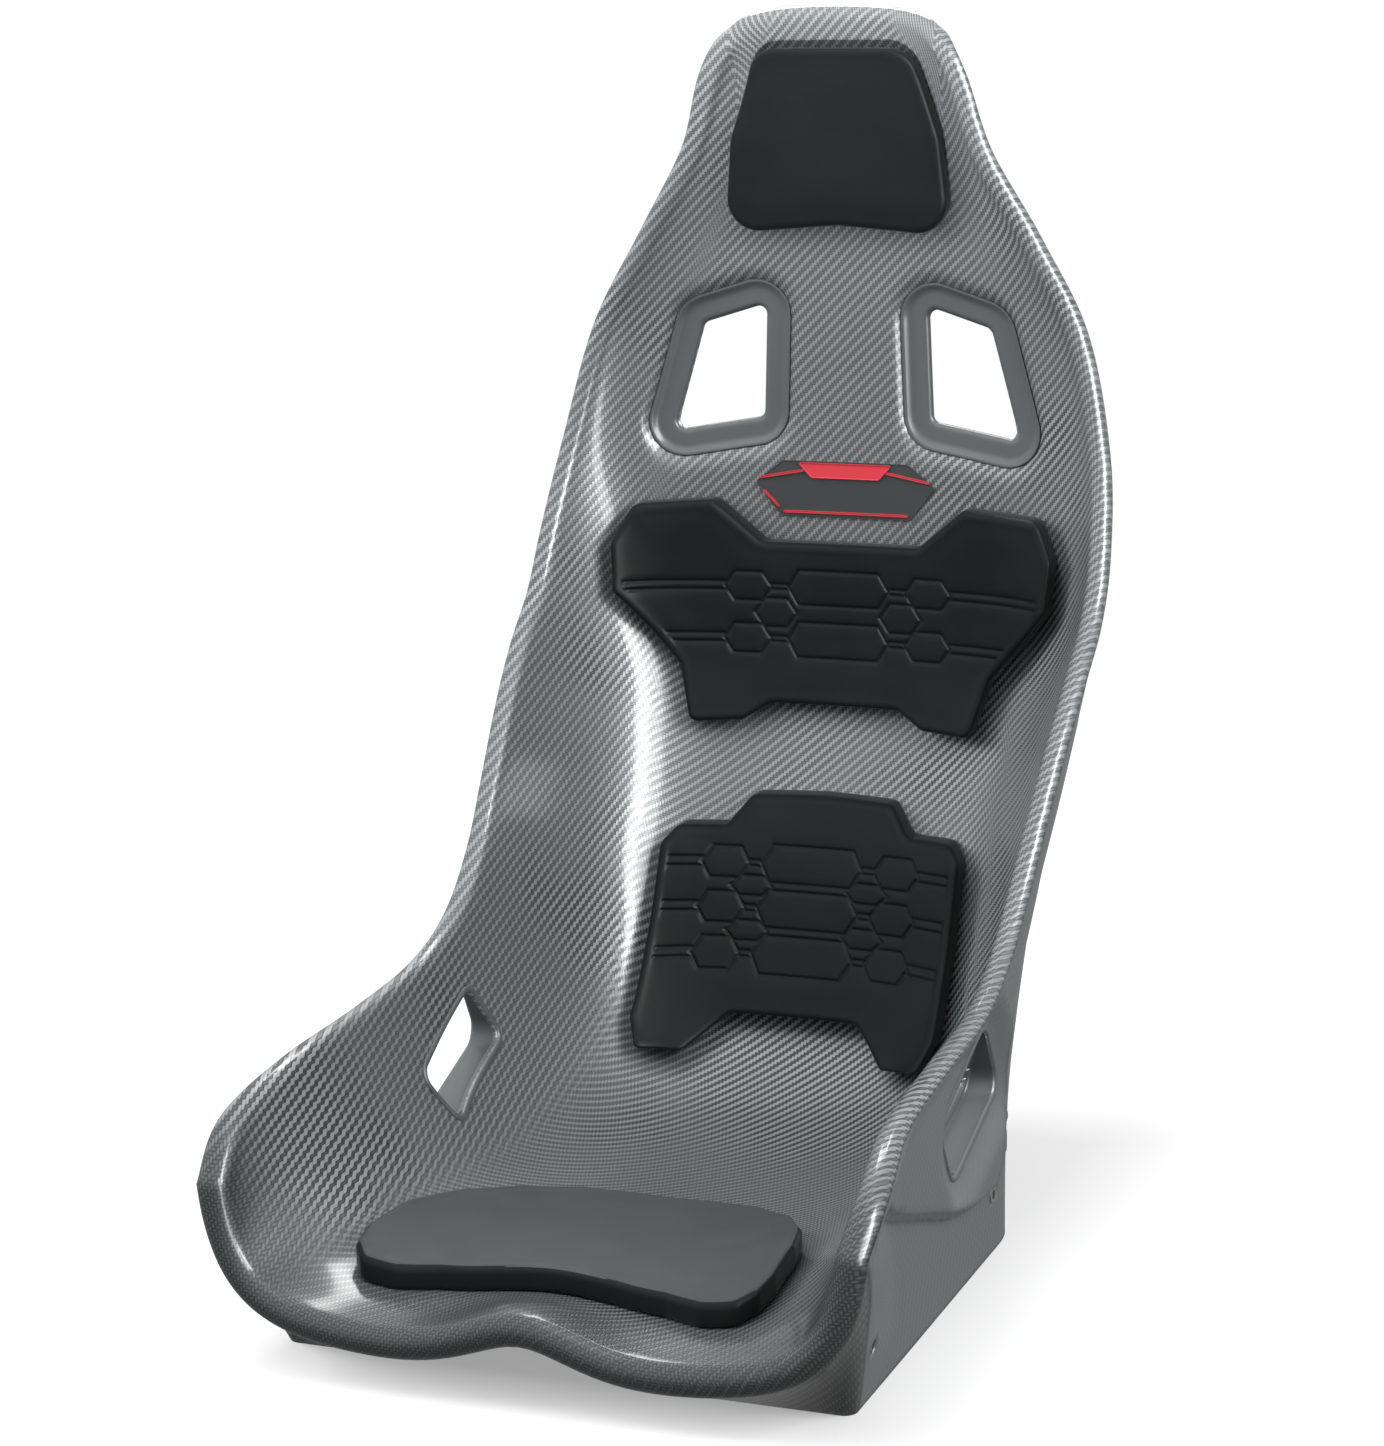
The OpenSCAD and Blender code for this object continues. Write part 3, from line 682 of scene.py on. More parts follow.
def apron_row(exit_points, v):
    """A row of the front's lower face, from the roll down to the feet."""
    x, y, z = exit_points.T
    foot_x = x * BASE_HALF_W / x[-1]
    foot_z = ARCH_H * smooth((ARCH_END - np.abs(foot_x)) / ARCH_EASE)
    x = mix(x, foot_x, v)
    turn = np.maximum(np.abs(x) - (np.abs(x[-1]) - CORNER_R), 0)
    back = (CORNER_R - np.sqrt(np.maximum(CORNER_R**2 - turn**2, 0))) * smooth(v / 0.3)
    return columns(x, mix(y, FOOT_Y, v**0.9) + back, mix(z, foot_z, v))


LIP = np.arange(NU)  # the lip's places in the loop, right corner included
SIDE = np.arange(NU - 1, NU - 1 + NS)  # the right rim's places, both corners included
TOP = np.arange(NU - 1 + NS - 1, NU - 1 + NS - 1 + NU)  # the head's places, from right to left


def build_front_skin():
    points, normals = GRID_P.reshape(-1, 3), GRID_N.reshape(-1, 3)
    points = points + normals * recess(points)[:, None]
    faces = [cut_slots(points, normals, grid_faces(NS, NU), SHOULDER_LINE, [LAP_LINE])]
    weave, outward = rim_weave()
    every = np.arange(len(RIM_P))
    rings, ring_points, ring_weave = [LOOP_I * NU + LOOP_J], [], []
    for k in range(1, RIM_STEPS + 1):
        angle = RIM_TURN * k / RIM_STEPS
        ring_points.append(rim_at(every, angle))
        turned = weave + outward * (RIM_RADIUS * angle)[:, None]
        turned[:, 2] = mix(turned[:, 2], 1.0, k / RIM_STEPS)
        ring_weave.append(turned)
        rings.append(len(points) + (k - 1) * len(RIM_P) + every)
    for a, b in zip(rings[:-1], rings[1:]):
        faces.append(ring_strip(a, b))
    exit_points = ring_points[-1][LIP]
    start = len(points) + RIM_STEPS * len(RIM_P)
    apron_points, apron_weave, above = [], [], rings[-1][LIP]
    for m in range(1, APRON_ROWS + 1):
        row = apron_row(exit_points, m / APRON_ROWS)
        down = np.linalg.norm(row - exit_points, axis=1)
        apron_points.append(row)
        apron_weave.append(ring_weave[-1][LIP] + [0, -1, 0] * down[:, None])
        below = start + (m - 1) * NU + LIP
        faces.append(strip(above, below))
        above = below
    all_points = np.vstack([points] + ring_points + apron_points)
    all_weave = np.vstack([GRID_WEAVE.reshape(-1, 3)] + ring_weave + apron_weave)
    # painted shade: the lip, its roll and the apron below are darkened and their weave faded, standing in for
    # the shade on these forward and downward faces
    lip = LIP_PAINTED_SHADE * np.exp(-(S_ROWS / LIP_SHADE_REACH) ** 2)
    round_lip = smooth(np.arange(1, RIM_STEPS + 1) / RIM_STEPS / 0.7 - 0.2)
    along_lip = (LOOP_I == 0) * smooth((0.97 - U_COLS[LOOP_J]) / 0.1)
    apron = np.ones(APRON_ROWS * NU)
    fade = np.concatenate([np.repeat(lip, NU), np.tile(lip[LOOP_I], RIM_STEPS), apron * LIP_PAINTED_SHADE])
    turn = np.concatenate([np.zeros(NS * NU), np.outer(round_lip, along_lip).ravel(), apron])
    add_piece("front_shell", all_points, np.vstack(faces), "shell", CARBON_IN,
              ["front_skin"], all_weave, fade, turn, thickness=SKIN_T)
    return exit_points


LIP_EXIT = build_front_skin()


# ------------ rear skin
SIDE_COLS, BACK_COLS = 52, 44  # columns of half the skin: along the side, and round to the middle of the back
LOW_ROWS, HEAD_ROWS = 36, 8  # rows of the base and over the head
LOW_BACK_Z = 49.0  # how high the rows of the base reach at the middle of the back
TURN_SHARE = 0.4  # how far a row has risen towards its height at the back where the side turns
TURN_RUN = 30.0  # how far round the corner the side's width still changes
CORNER_PACK = 1.25  # crowds the columns where the corner starts
HEAD_SHARE = 0.9  # how much of the head's rim the columns spread over
TUCK_START, TUCK_END = radians(125), radians(165)
MOUNT_FRONT_Y, MOUNT_SPACING, MOUNT_H, INSERT_R = -236.0, 290.0, 42.0, 6.8


def side_x(y, z):
    """Half width of the outer skin, with its swell above the base panel."""
    slope = (curve(STEP_Z, y + 1) - curve(STEP_Z, y - 1)) / 2
    above = (z - curve(STEP_Z, y)) / np.sqrt(1 + slope**2)
    swell = SIDE_SWELL * np.maximum(smooth(above / STEP_H), smooth((z - SWOOSH_LOW) / (POD_TOP - SWOOSH_LOW)))
    low = BASE_HALF_W + swell + np.maximum(0, z - POD_LOW) * POD_LEAN
    return np.where(z > POD_TOP, curve(SIDE_X, z), low)


def tucked(index, angle):
    """The outer skin's edge inside the rolled rim."""
    extra = TOP_GAP * np.exp(-(LAST - S_ROWS[LOOP_I[index]]) ** 2)
    return rim_at(index, angle, (SKIN_T + BOND_GAP + extra)[:, None])


def skin_lines(front, back_z):
    """Lines of the right half of the outer skin, from front points to heights on the middle of the back."""
    ground = mix(front[:, 2], back_z, TURN_SHARE)
    turn_y = np.maximum(curve(SIDE_Y, ground), front[:, 1] + 5)
    width_z = np.minimum(ground, SIDE_X[-1][0])
    lines = []
    for k in range(1, SIDE_COLS + 1):
        t = k / SIDE_COLS
        y, z = mix(front[:, 1], turn_y, t), mix(front[:, 2], ground, t)
        lines.append(columns(mix(front[:, 0], side_x(y, z), smooth(t * 3)), y, z))
    for k in range(1, BACK_COLS + 1):
        c = radians(90 * (k / BACK_COLS) ** CORNER_PACK)
        wide, deep = max(cos(c), 0.0) ** (2 / CORNER_N), sin(c) ** (2 / CORNER_N)
        wide = 0.0 if k == BACK_COLS else wide
        y = mix(turn_y, curve(BACK_Y, back_z), deep)
        x = side_x(np.minimum(y, turn_y + TURN_RUN), width_z) * wide
        lines.append(columns(x, y, mix(ground, back_z, k / BACK_COLS)))
    return np.stack(lines, axis=1)


def press_in_round_laps(rows):
    """Presses the outer skin in softly round the lap slots, as far as the inner skin lets it."""
    beside = (np.abs(rows[..., 0]) > 150) & (rows[..., 1] < 110) & (rows[..., 2] > 40) & (rows[..., 2] < 225)
    p = rows[beside]
    out = outside_by(p[:, [1, 2]], LAP_LINE)
    inner, _ = on_side(p[:, 1], p[:, 2])
    room = np.maximum(np.abs(p[:, 0]) - inner[:, 0] - LAP_ROOM, 0)
    depth = np.minimum(LAP_DISH, room) * smooth((LAP_DISH_OUT - out) / (LAP_DISH_OUT - LAP_FLARE - 1))
    p[:, 0] -= np.sign(p[:, 0]) * depth * smooth((LAP_DISH_REAR - p[:, 1]) / 22)
    rows[beside] = p


def build_rear_skin():
    edge = np.linspace(1, 0.06, LOW_ROWS)
    corner = np.array([apron_row(LIP_EXIT, v)[-1] for v in edge])
    fade = np.linspace(0, 1, LOW_ROWS)[:, None]
    low_front = corner + [-0.2, 0.6, 0] + fade * [0, 0.5, 0]
    low_z = low_front[:, 2] * (LOW_BACK_Z / low_front[-1, 2])
    index = SIDE[:-1]
    high_front = tucked(index, TUCK_END)
    high_z = spline_rows(STATIONS, S_ROWS[:-1])[:, 7]
    right = np.concatenate([
        np.concatenate([hem[:, None], front[:, None], skin_lines(front, back_z)], axis=1)
        for hem, front, back_z in (
            (low_front + [-7, 1, 0], low_front, low_z), (tucked(index, TUCK_START), high_front, high_z))
    ])
    right[:, -1, 0] = 0
    left = right[:, -2::-1] * [-1, 1, 1]
    section = np.concatenate([right, left], axis=1)[:, ::-1]  # from the left edge round to the right one
    cols = section.shape[1]
    from_mid = (np.arange(cols) - (cols - 1) / 2) / (SIDE_COLS + BACK_COLS)
    share = np.clip(from_mid, -1.0, 1.0) * HEAD_SHARE
    top_u = U_COLS[LOOP_J[TOP]][::-1]

    def top_row(angle):
        ring = tucked(TOP, angle)[::-1]
        return np.stack([np.interp(share, top_u, ring[:, k]) for k in range(3)], axis=1)

    last_row, inner_row = top_row(TUCK_END), top_row(TUCK_START)
    last_row[[0, -1]] = section[-1][[1, -2]]
    start, rise = section[-1], section[-1] - section[-3]
    gap = np.linalg.norm(last_row - start, axis=1, keepdims=True)
    bend = start + unit(rise) * gap * 0.45
    w = np.arange(1, HEAD_ROWS + 1)[:, None, None] / HEAD_ROWS
    crown = start * (1 - w) ** 2 + 2 * bend * w * (1 - w) + last_row * w**2
    rows = np.concatenate([section, crown, inner_row[None]])
    press_in_round_laps(rows)
    weave = (laid_weave(rows, np.zeros(rows.shape[:2])) * [-1, 1, 1]).reshape(-1, 3)
    normals = unit(np.cross(np.gradient(rows, axis=0), np.gradient(rows, axis=1))).reshape(-1, 3)
    points = rows.reshape(-1, 3).copy()
    turn = np.arange(0, 2 * pi, 0.2)
    round_hole = INSERT_R * columns(np.cos(turn), np.sin(turn))
    mounts = [round_hole + [y, MOUNT_H] for y in (MOUNT_FRONT_Y, MOUNT_FRONT_Y + MOUNT_SPACING)]
    faces = cut_slots(points, normals, grid_faces(len(rows), cols), SHOULDER_REAR, [LAP_REAR] + mounts)
    add_piece("rear_shell", points, faces[:, ::-1], "shell", CARBON_OUT,
              ["rear_skin"], weave, thickness=SKIN_T)
    return points, normals


REAR_POINTS, REAR_NORMALS = build_rear_skin()


# ------------ belt slots
LINING_STEPS, LINING_T = 9, 1.2  # rows of a slot's lining between its two lips, and its thickness


def ring_loft(rings):
    """Points and faces of closed rings joined in turn."""
    n = len(rings[0])
    starts = np.arange(len(rings))[:, None] * n + np.arange(n)
    return np.vstack(rings), np.vstack([ring_strip(a, b) for a, b in zip(starts[:-1], starts[1:])])


def rear_depth(flat, axes, chosen):
    """The outer skin's third coordinate at places given by two others."""
    other = 3 - sum(axes)
    p, n = REAR_POINTS[chosen], REAR_NORMALS[chosen]
    result = np.zeros(len(flat))
    for k, q in enumerate(flat):
        i = np.argmin(np.sum((p[:, axes] - q) ** 2, axis=1))
        lean = n[i, axes] @ (q - p[i, axes])
        result[k] = p[i, other] - lean / (np.sign(n[i, other]) * max(abs(n[i, other]), 0.3))
    return ring_mean(result)


def slot_lining(name, line, axes, surface, front_profile, rear_profile, chosen, node, mirrored, land=None):
    """A moulded ring round a belt slot.

    A profile holds steps outward from the opening and back from the surface. land is how far out a flat
    land inside the slot reaches, and how far back it lies.
    """
    outward = outline_normals(line)
    other = 3 - sum(axes)
    rings = []
    for out, depth in front_profile:
        flat = line + outward * out
        p, n = surface(flat[:, 0], flat[:, 1])
        rings.append(p + n * depth)
    rear = []
    for out, depth in rear_profile:
        q = np.zeros((len(line), 3))
        q[:, axes] = line + outward * out
        q[:, other] = rear_depth(q[:, axes], axes, chosen) + depth
        rear.append(q)
    if land:
        shelf = rings[-1].copy()
        shelf[:, other] += land[1]
        rings.append(shelf)
        for out in (0.4, land[0] - 1.2, land[0] - 0.3, land[0]):
            q = shelf.copy()
            q[:, axes] = line + outward * out
            q[:, other] += 0.5 + 0.7 * float(out > land[0] - 0.5)
            rings.append(q)
    wall = [mix(rings[-1], rear[0], w) for w in np.arange(1, LINING_STEPS) / LINING_STEPS]
    points, faces = ring_loft(rings + wall + rear)
    add_piece(name, points, faces, "shell", SLOT_SATIN, [node],
              mirrored=mirrored, thickness=LINING_T)


def build_slots():
    back = (REAR_POINTS[:, 1] > 300) & (np.abs(REAR_POINTS[:, 0]) > 30) & (REAR_POINTS[:, 0] > 0)
    flank = (REAR_POINTS[:, 0] > 150) & (REAR_POINTS[:, 2] < 260)
    shoulder_front = []
    for t in np.linspace(0, 1, 9):
        out = mix(20.0, 3.0, t)
        sunk = RECESS_DEPTH * float(smooth((RECESS_OUT - out) / (RECESS_OUT - RECESS_IN)))
        shoulder_front.append((out, sunk - 0.5 - 0.7 * float(smooth(t * 6))))
    for a in np.linspace(0, pi / 2, 6)[1:]:
        shoulder_front.append((3.0 - 3.0 * sin(a), RECESS_DEPTH - 1.2 + 3.0 * (1 - cos(a))))
    lap_front = [(5.0, 0.6), (4.6, -0.9), (3.2, -1.6), (1.6, -1.5), (0.5, -0.7), (0.0, 0.8)]
    lip = [(0.0, -1.0), (0.5, 0.6), (1.8, 1.2)]
    wide_lip = [(out + REAR_FLARE, depth) for out, depth in lip + [(6.0, 1.2), (7.5, 0.8), (8.0, -0.4)]]
    lap_lip = [(out + LAP_FLARE, depth) for out, depth in lip + [(3.0, 1.1), (3.8, 0.6), (4.2, -0.4)]]
    for side, mirrored in (("right", False), ("left", True)):
        slot_lining(f"shoulder_slot_lining_{side}", SHOULDER_LINE, [0, 2], on_back, shoulder_front,
                    wide_lip, back, f"shoulder_slot_frame_{side}", mirrored)
        slot_lining(f"lap_slot_lining_{side}", LAP_LINE, [1, 2], on_side, lap_front,
                    lap_lip, flank, f"lap_slot_frame_{side}", mirrored, (LAP_FLARE, LAP_LAND))


build_slots()


# ------------ pads
PAD_T, HEAD_PAD_T, SEAT_PAD_T = 18.0, 14.0, 15.0  # thickness over the tapes
PAD_LOW = 3.9  # how far off the shell a foam core starts, over both tapes
HEM_LOW = 1.2  # how far off the shell a cover's hem lies
EDGE_R, CORE_EDGE_R = 6.0, 3.0  # rounding of a cover's and of a core's top edge
CORE_INSET, CORE_LOWER = 2.6, 4.5  # how much smaller the core is than its cover, all round and on top
COVER_T = 1.3
GROOVE_DEPTH, GROOVE_W = 1.7, 1.15  # a pressed line
PRESS_DEPTH, PRESS_W = 0.5, 4.0  # the soft press beside a groove
SINK_DEPTH, SINK_W = 1.2, 9.0  # how much lower a cover lies near its edge, and over what width
GROOVE_BAND, BAND_GAP = 3.3, 3.5  # the fine mesh ends this far from a groove, and the coarse one starts there
STEEPEST = 0.55  # thickness is measured square to walls up to this lean


def hexagon(x, z, half_w, half_h, flat):
    """The six sides of a hexagon with its points to the left and right."""
    corners = [(x + a * half_w if not b else x + a * flat, z + b * half_h)
               for a, b in ((-1, 0), (-1, 1), (1, 1), (1, 0), (1, -1), (-1, -1))]
    return list(zip(corners, corners[1:] + corners[:1]))


def pad_pattern(rows, pitch, small_x, reach):
    """Pressed lines of a pad: rows of a long and two small hexagons, more between rows, and channels."""
    lines = []
    for z in rows:
        lines += hexagon(0, z, 40, 13.2, 32)
        for side in (1, -1):
            lines += hexagon(side * small_x, z, 18.5, 11.0, 11)
            for dz in (2.0, -2.0):
                lines.append(((side * 41.5, z + dz), (side * (small_x - 17.0), z + dz)))
            for dz in (3.2, -3.2):
                lines.append(((side * (small_x + 16.0), z + dz), (side * reach, z + dz)))
    for z in rows[:-1]:
        for side in (1, -1):
            lines += hexagon(side * (small_x - 22), z - pitch / 2, 16.5, pitch / 2 - 9, 9)
    return np.array(lines, float)


def lattice(line, step):
    """Points at even steps over the box round an outline."""
    lo, hi = line.min(0), line.max(0)
    x, y = np.meshgrid(np.arange(lo[0], hi[0], step), np.arange(lo[1], hi[1], step), indexing="ij")
    return columns(x.ravel(), y.ravel())


def pad_mesh(outline, radius, low, high, surface, axis, grid,
             inset=0.0, edge_r=EDGE_R, pattern=None, closed=False):
    """A moulded slab on the shell: rounded top edge, pressed pattern, walls and a turned-in hem.

    grid is the step of its mesh, and closed gives it an underside in place of the hem.
    """
    line = rounded(outline, radius, 1.6)
    if inset:
        line = line - outline_normals(line) * inset
    normal = outline_normals(line)
    top = high - edge_r
    angles = np.linspace(0, pi / 2, 8)
    rings = [(edge_r + 1.6, high), (edge_r + 0.8, high)]
    rings += [(edge_r * (1 - sin(a)), top + edge_r * cos(a)) for a in angles]
    rings += [(0.0, mix(top, low, t)) for t in (0.35, 0.7)]
    rings += [(0.3, low + 1.4), (0.9, low + 0.5), (2.0, low)]
    if not closed:
        rings += [(7.0, low + 0.1)]
    start = line - normal * rings[0][0]
    sunk = SINK_DEPTH if edge_r > CORE_EDGE_R else 0.0

    def from_groove(points):
        return to_segments(points, pattern[:, 0], pattern[:, 1])[0]

    spots = lattice(line, grid)
    if pattern is not None:
        fine = lattice(line, 0.95)
        spots = np.vstack([fine[from_groove(fine) < GROOVE_BAND], spots[from_groove(spots) > BAND_GAP]])
    spots = spots[outside_by(spots, line) < -(edge_r + 2.6)]
    n = len(start)
    flat = np.vstack([start, spots])
    result = delaunay_2d_cdt([Vector(p) for p in flat], [], [list(range(n))], 1, 1e-5)
    verts = np.array([tuple(v) for v in result[0]])
    new_of = {old: k for k, olds in enumerate(result[3]) for old in olds}
    ring0 = np.array([new_of[k] for k in range(n)])
    faces = np.array(result[2])
    a, b = verts[faces[:, 1]] - verts[faces[:, 0]], verts[faces[:, 2]] - verts[faces[:, 0]]
    under = a[:, 0] * b[:, 1] <= a[:, 1] * b[:, 0]
    faces[under] = faces[under, ::-1]
    faces = faces.tolist()
    height = np.full(len(verts), high)
    if pattern is not None:
        d = from_groove(verts)
        height -= GROOVE_DEPTH * np.exp(-(d / GROOVE_W) ** 2) + PRESS_DEPTH * np.exp(-(d / PRESS_W) ** 2)
    height -= sunk * np.exp(-((-outside_by(verts, line) - edge_r) / SINK_W) ** 2)
    flat_all, height_all, all_faces = [verts], [height], list(faces)
    last, count = ring0, len(verts)
    for out, h in rings[1:]:
        flat_all.append(line - normal * out)
        sink = sunk * exp(-(max(out - edge_r, 0.0) / SINK_W) ** 2)
        height_all.append(np.full(n, h - sink * max(0.0, min(1.0, (h - low) / (high - low)))))
        now = count + np.arange(n)
        all_faces += ring_strip(last, now).tolist()
        last, count = now, count + n
    if closed:
        below = {int(v): int(k) for v, k in zip(ring0, last)}
        flat_all.append(verts)
        height_all.append(np.full(len(verts), low))
        all_faces += [[below.get(v, count + v) for v in f[::-1]] for f in faces]
    flat_all, height_all = np.vstack(flat_all), np.concatenate(height_all)
    points, normals = surface(flat_all[:, 0], flat_all[:, 1])
    lean = np.maximum(np.abs(normals[:, axis]), STEEPEST)
    points[:, axis] += (1 if axis == 2 else -1) * height_all / lean
    return points, all_faces


def build_pad(name, outline, radius, thickness, surface, axis, pattern=None, material=PAD_COVER):
    high = PAD_LOW + thickness
    points, faces = pad_mesh(outline, radius, HEM_LOW, high, surface, axis, 3.2, pattern=pattern)
    cover = add_piece(f"{name}_cover_fabric", points, faces, name, material, [f"{name}_cover"],
                      thickness=COVER_T)
    if material is not PAD_COVER:  # painted light: the upward faces keep the lighter seat cover, the walls get the darker pad cover
        cover.data.materials.append(PAD_COVER)
        for face in cover.data.polygons:
            face.material_index = int(abs(face.normal[axis]) < 0.9)
    points, faces = pad_mesh(outline, radius, PAD_LOW, high - CORE_LOWER, surface, axis, 6.0,
                             CORE_INSET, CORE_EDGE_R, closed=True)
    core = add_piece(f"{name}_foam_core", points, faces, name, PAD_FOAM, [f"{name}_foam"])


SHOULDER_ROW_Z, SHOULDER_PITCH = 413.0, 40.0
LUMBAR_ROW_Z, LUMBAR_PITCH = 213.0, 32.0
SHOULDER_PATTERN = pad_pattern([SHOULDER_ROW_Z, SHOULDER_ROW_Z - SHOULDER_PITCH], SHOULDER_PITCH, 72, 172)
LUMBAR_PATTERN = pad_pattern([LUMBAR_ROW_Z - k * LUMBAR_PITCH for k in range(3)], LUMBAR_PITCH, 68, 119)

build_pad("head_pad", HEAD_PAD, 24, HEAD_PAD_T, on_back, 1)
build_pad("shoulder_pad", mirror_half(SHOULDER_HALF), 9, PAD_T, on_back, 1, SHOULDER_PATTERN)
build_pad("lumbar_pad", mirror_half(LUMBAR_HALF), 9, PAD_T, on_back, 1, LUMBAR_PATTERN)
build_pad("seat_pad", mirror_half(SEAT_HALF), 9, SEAT_PAD_T, on_seat, 2, material=SEAT_TOP_LIT_COVER)


# ------------ badge
def film(name, outline, radius, low, high, material, nodes=()):
    """A thin printed film that follows the back of the shell."""
    points, faces = pad_mesh(outline, radius, low, high, on_back, 1, 4.0, edge_r=0.25, closed=True)
    add_piece(name, points, faces, "shell", material, nodes)


def stripe(a, b, width):
    """A narrow four-cornered outline from a to b."""
    a, b = np.array(a, float), np.array(b, float)
    side = np.array([a[1] - b[1], b[0] - a[0]]) / np.linalg.norm(b - a) * width / 2
    return [a + side, b + side, b - side, a - side]


film("badge_film", BADGE, 2.0, 0.3, 1.1, BADGE_DARK, ["badge_plate"])
film("badge_inlay_film", INLAY, 1.2, 1.4, 1.9, BADGE_RED, ["badge_inlay"])
STRIPES = {
    "badge_line_upper_left": stripe((-68, 494.5), (-32, 501.0), 2.0),
    "badge_line_upper_right": stripe((32, 501.0), (68, 494.5), 2.0),
    "badge_line_lower": stripe((-50, 468.5), (50, 468.5), 2.0),
    "badge_line_left": stripe((-66, 485.0), (-53, 471.5), 1.4),
}
for stripe_name, corners in STRIPES.items():
    film(stripe_name, corners, 0.4, 1.3, 1.7, BADGE_RED)


# ------------ parts kept from the frame
kept = {"side_mount_inserts": INSERT_STEEL}
for side in ("left", "right"):
    kept[f"side_mount_plate_{side}"] = PLATE_ALLOY
for pad in ("head", "shoulder", "lumbar", "seat"):
    kept[f"{pad}_pad_loop_tape"] = LOOP_TAPE
    kept[f"{pad}_pad_hook_tape"] = HOOK_TAPE
for node, material in kept.items():
    for material_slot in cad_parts[node].material_slots:
        material_slot.material = material


# ------------ floor, light and camera
FLOOR_SHADE, FLOOR_FADE = (0.2, 0.27), 0.2  # half size of the shaded patch, and how soon it turns white


def build_floor():
    mesh = bpy.data.meshes.new("floor")
    far = 1.6
    mesh.from_pydata([(-far, -far, 0), (far, -far, 0), (far, far, 0), (-far, far, 0)], [], [(0, 1, 2, 3)])
    s = Shader("studio_floor")
    spot = s.split(s.on_object())
    past = [s.math("MAXIMUM", s.sub(s.math("ABSOLUTE", spot[k]), FLOOR_SHADE[k]), 0.0) for k in (0, 1)]
    away = s.math("SQRT", s.add(s.math("POWER", past[0], 2.0), s.math("POWER", past[1], 2.0)))
    plain = s.math("SMOOTH_MIN", s.math("DIVIDE", away, FLOOR_FADE), 1.0, 0.3)
    s.set(Base_Color=s.between(grey(0.42), grey(0.0), plain), Roughness=0.9, Specular_IOR_Level=0.0)
    s.set(Emission_Color=s.between(grey(0.33), grey(1.2), plain), Emission_Strength=1.0)
    mesh.materials.append(s.material)
    floor = add_object("floor", mesh)
    floor.visible_diffuse = floor.visible_glossy = False


def softbox(name, at, aim, size, power, seen_by, spread=180):
    """A rectangular lamp. seen_by is diffuse or glossy, and spread is its beam's angle in degrees."""
    data = bpy.data.lights.new(name, "AREA")
    data.shape, data.size, data.size_y, data.energy = "RECTANGLE", size[0], size[1], power
    data.spread = radians(spread)
    light = add_object(name, data)
    light.location = at
    light.rotation_euler = (Vector(aim) - Vector(at)).to_track_quat("-Z", "Y").to_euler()
    light.visible_diffuse, light.visible_glossy = seen_by == "diffuse", seen_by == "glossy"


SKY_LOW, SKY_HIGH = 0.22, 0.95  # brightness of the surroundings below and above. The camera sees plain white


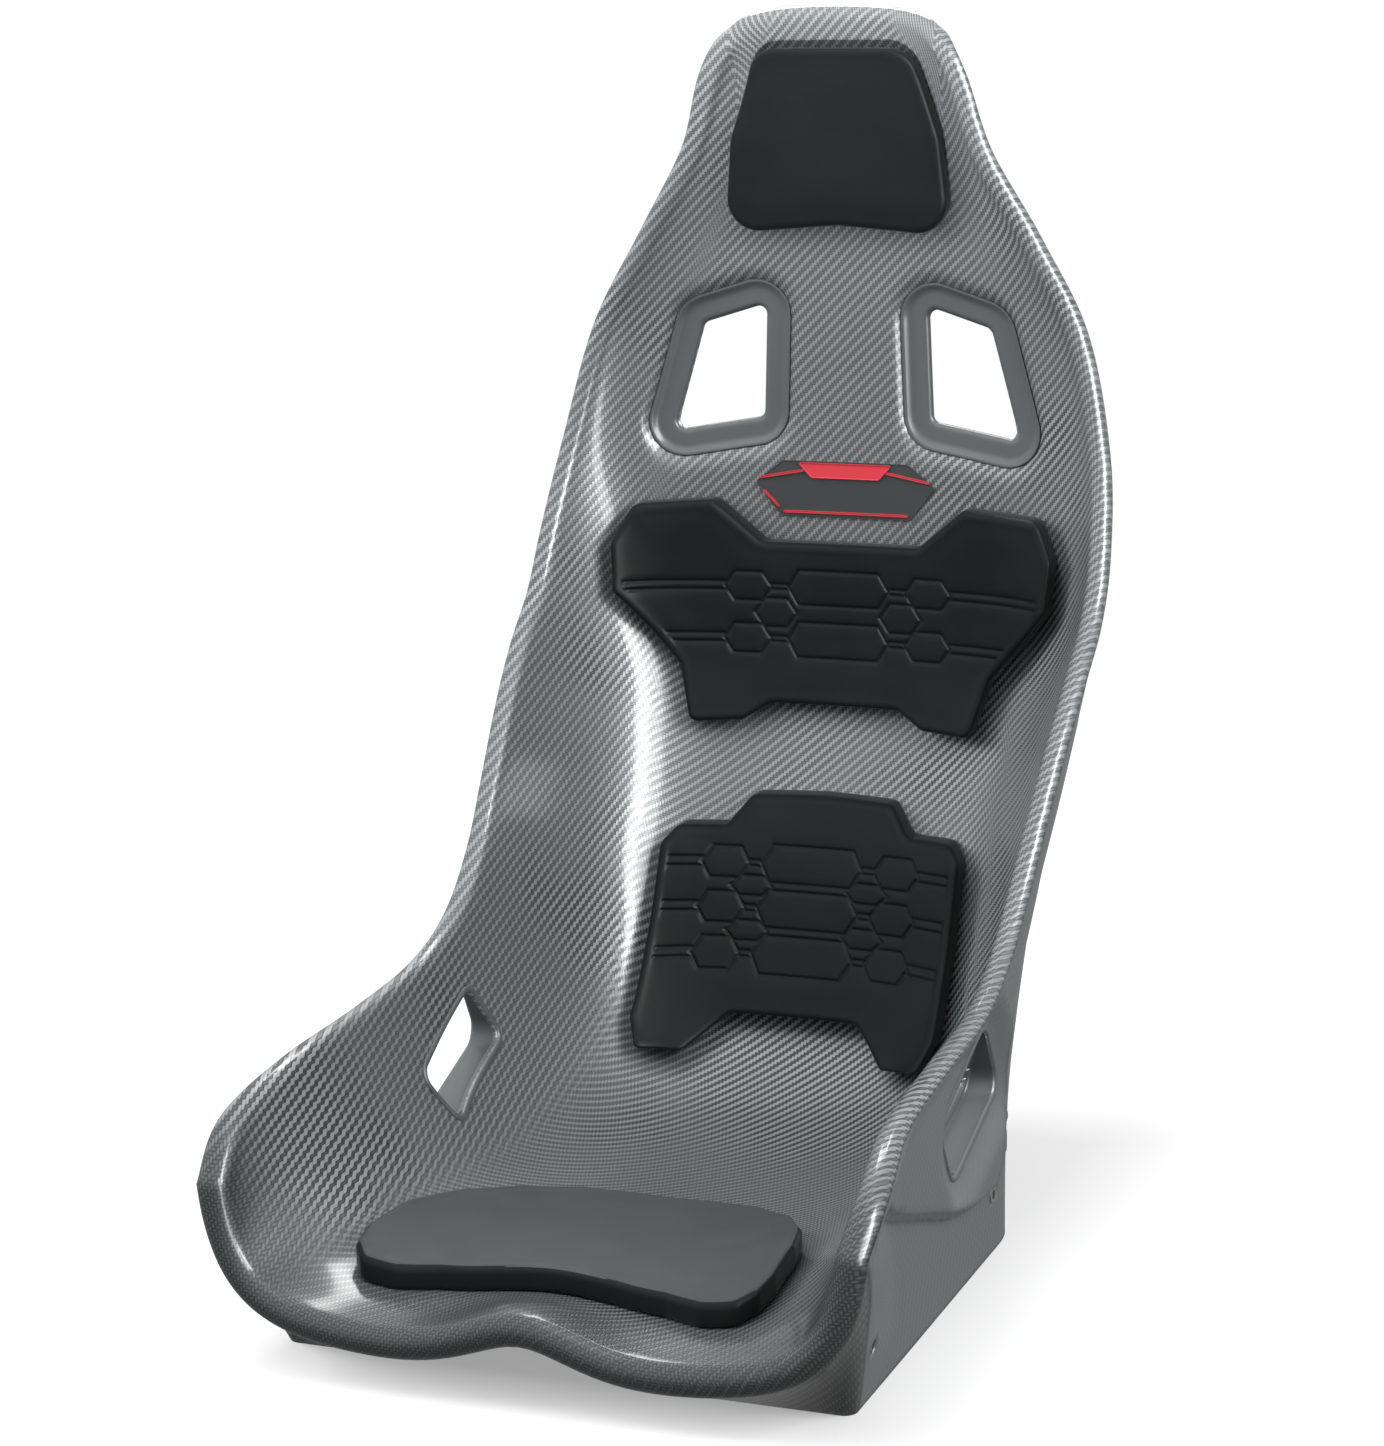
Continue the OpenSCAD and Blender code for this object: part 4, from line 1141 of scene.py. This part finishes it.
def build_light():
    world = bpy.data.worlds.new("studio")
    bpy.context.scene.world = world
    world.use_nodes = True
    new, link = world.node_tree.nodes.new, world.node_tree.links.new
    background = world.node_tree.nodes["Background"]
    path, direction = new("ShaderNodeLightPath"), new("ShaderNodeSeparateXYZ")
    level, sky = new("ShaderNodeMapRange"), new("ShaderNodeMapRange")
    link(new("ShaderNodeTexCoord").outputs["Generated"], direction.inputs[0])
    link(direction.outputs[2], sky.inputs["Value"])
    for socket, value in (("From Min", -0.35), ("From Max", 0.5), ("To Min", SKY_LOW), ("To Max", SKY_HIGH)):
        sky.inputs[socket].default_value = value
    link(sky.outputs[0], level.inputs["To Min"])
    link(path.outputs["Is Camera Ray"], level.inputs["Value"])
    level.inputs["To Max"].default_value = 1.0
    background.inputs["Color"].default_value = (1, 1, 1, 1)
    link(level.outputs[0], background.inputs["Strength"])
    softbox("key_box", (-0.7, -1.3, 2.8), (0, 0, 0.3), (1.4, 1.4), 36, "diffuse")
    softbox("right_box", (2.3, -0.8, 1.8), (0, 0, 0.4), (1.2, 1.6), 80, "diffuse")
    softbox("left_box", (-2.4, -1.0, 1.6), (0, 0, 0.5), (1.2, 1.6), 100, "diffuse")
    softbox("fold_box", (2.0, -0.55, 1.45), (-0.14, 0.2, 0.2), (0.55, 1.3), 48, "glossy")
    softbox("rim_box", (2.4, -1.5, 1.2), (0, 0, 0.4), (0.8, 2.4), 60, "glossy")
    softbox("top_box", (0.3, -0.4, 2.8), (0, 0, 0.3), (1.6, 1.2), 6, "glossy")
    softbox("head_box", (-0.35, -0.1, 1.75), (-0.05, 0.3, 0.82), (0.9, 0.35), 8, "diffuse")
    softbox("crown_box", (-0.25, 1.0, 1.6), (0, 0.3, 0.84), (0.9, 0.4), 14, "glossy")
    softbox("chin_box", (0.1, -0.9, 0.2), (0, 0.3, 0.91), (0.3, 0.2), 1.0, "diffuse", 18)


CAMERA_AZ, CAMERA_EL, CAMERA_ROLL = radians(21.5), radians(13.05), radians(-1.3)
CAMERA_AT = (924.96, -2341.24, 963.61)
FOCAL_PX, FRAME_H, SENSOR = 3767.8, 1446, 36.0


def build_camera():
    across, ahead, level = cos(CAMERA_AZ), sin(CAMERA_AZ), cos(CAMERA_EL)
    back = Vector((ahead * level, -across * level, sin(CAMERA_EL)))
    right = Vector((across, ahead, 0))
    up = back.cross(right)
    c, s = cos(CAMERA_ROLL), sin(CAMERA_ROLL)
    right, up = c * right + s * up, c * up - s * right
    data = bpy.data.cameras.new("camera")
    data.sensor_fit, data.sensor_height, data.sensor_width = "VERTICAL", SENSOR, SENSOR
    data.lens = FOCAL_PX / FRAME_H * SENSOR
    camera = add_object("camera", data)
    rotation = Matrix((right, up, back)).transposed().to_4x4()
    camera.matrix_world = Matrix.Translation(Vector(place(CAMERA_AT))) @ rotation
    bpy.context.scene.camera = camera


build_floor()
build_light()
build_camera()
bpy.context.scene.view_settings.view_transform = "Standard"
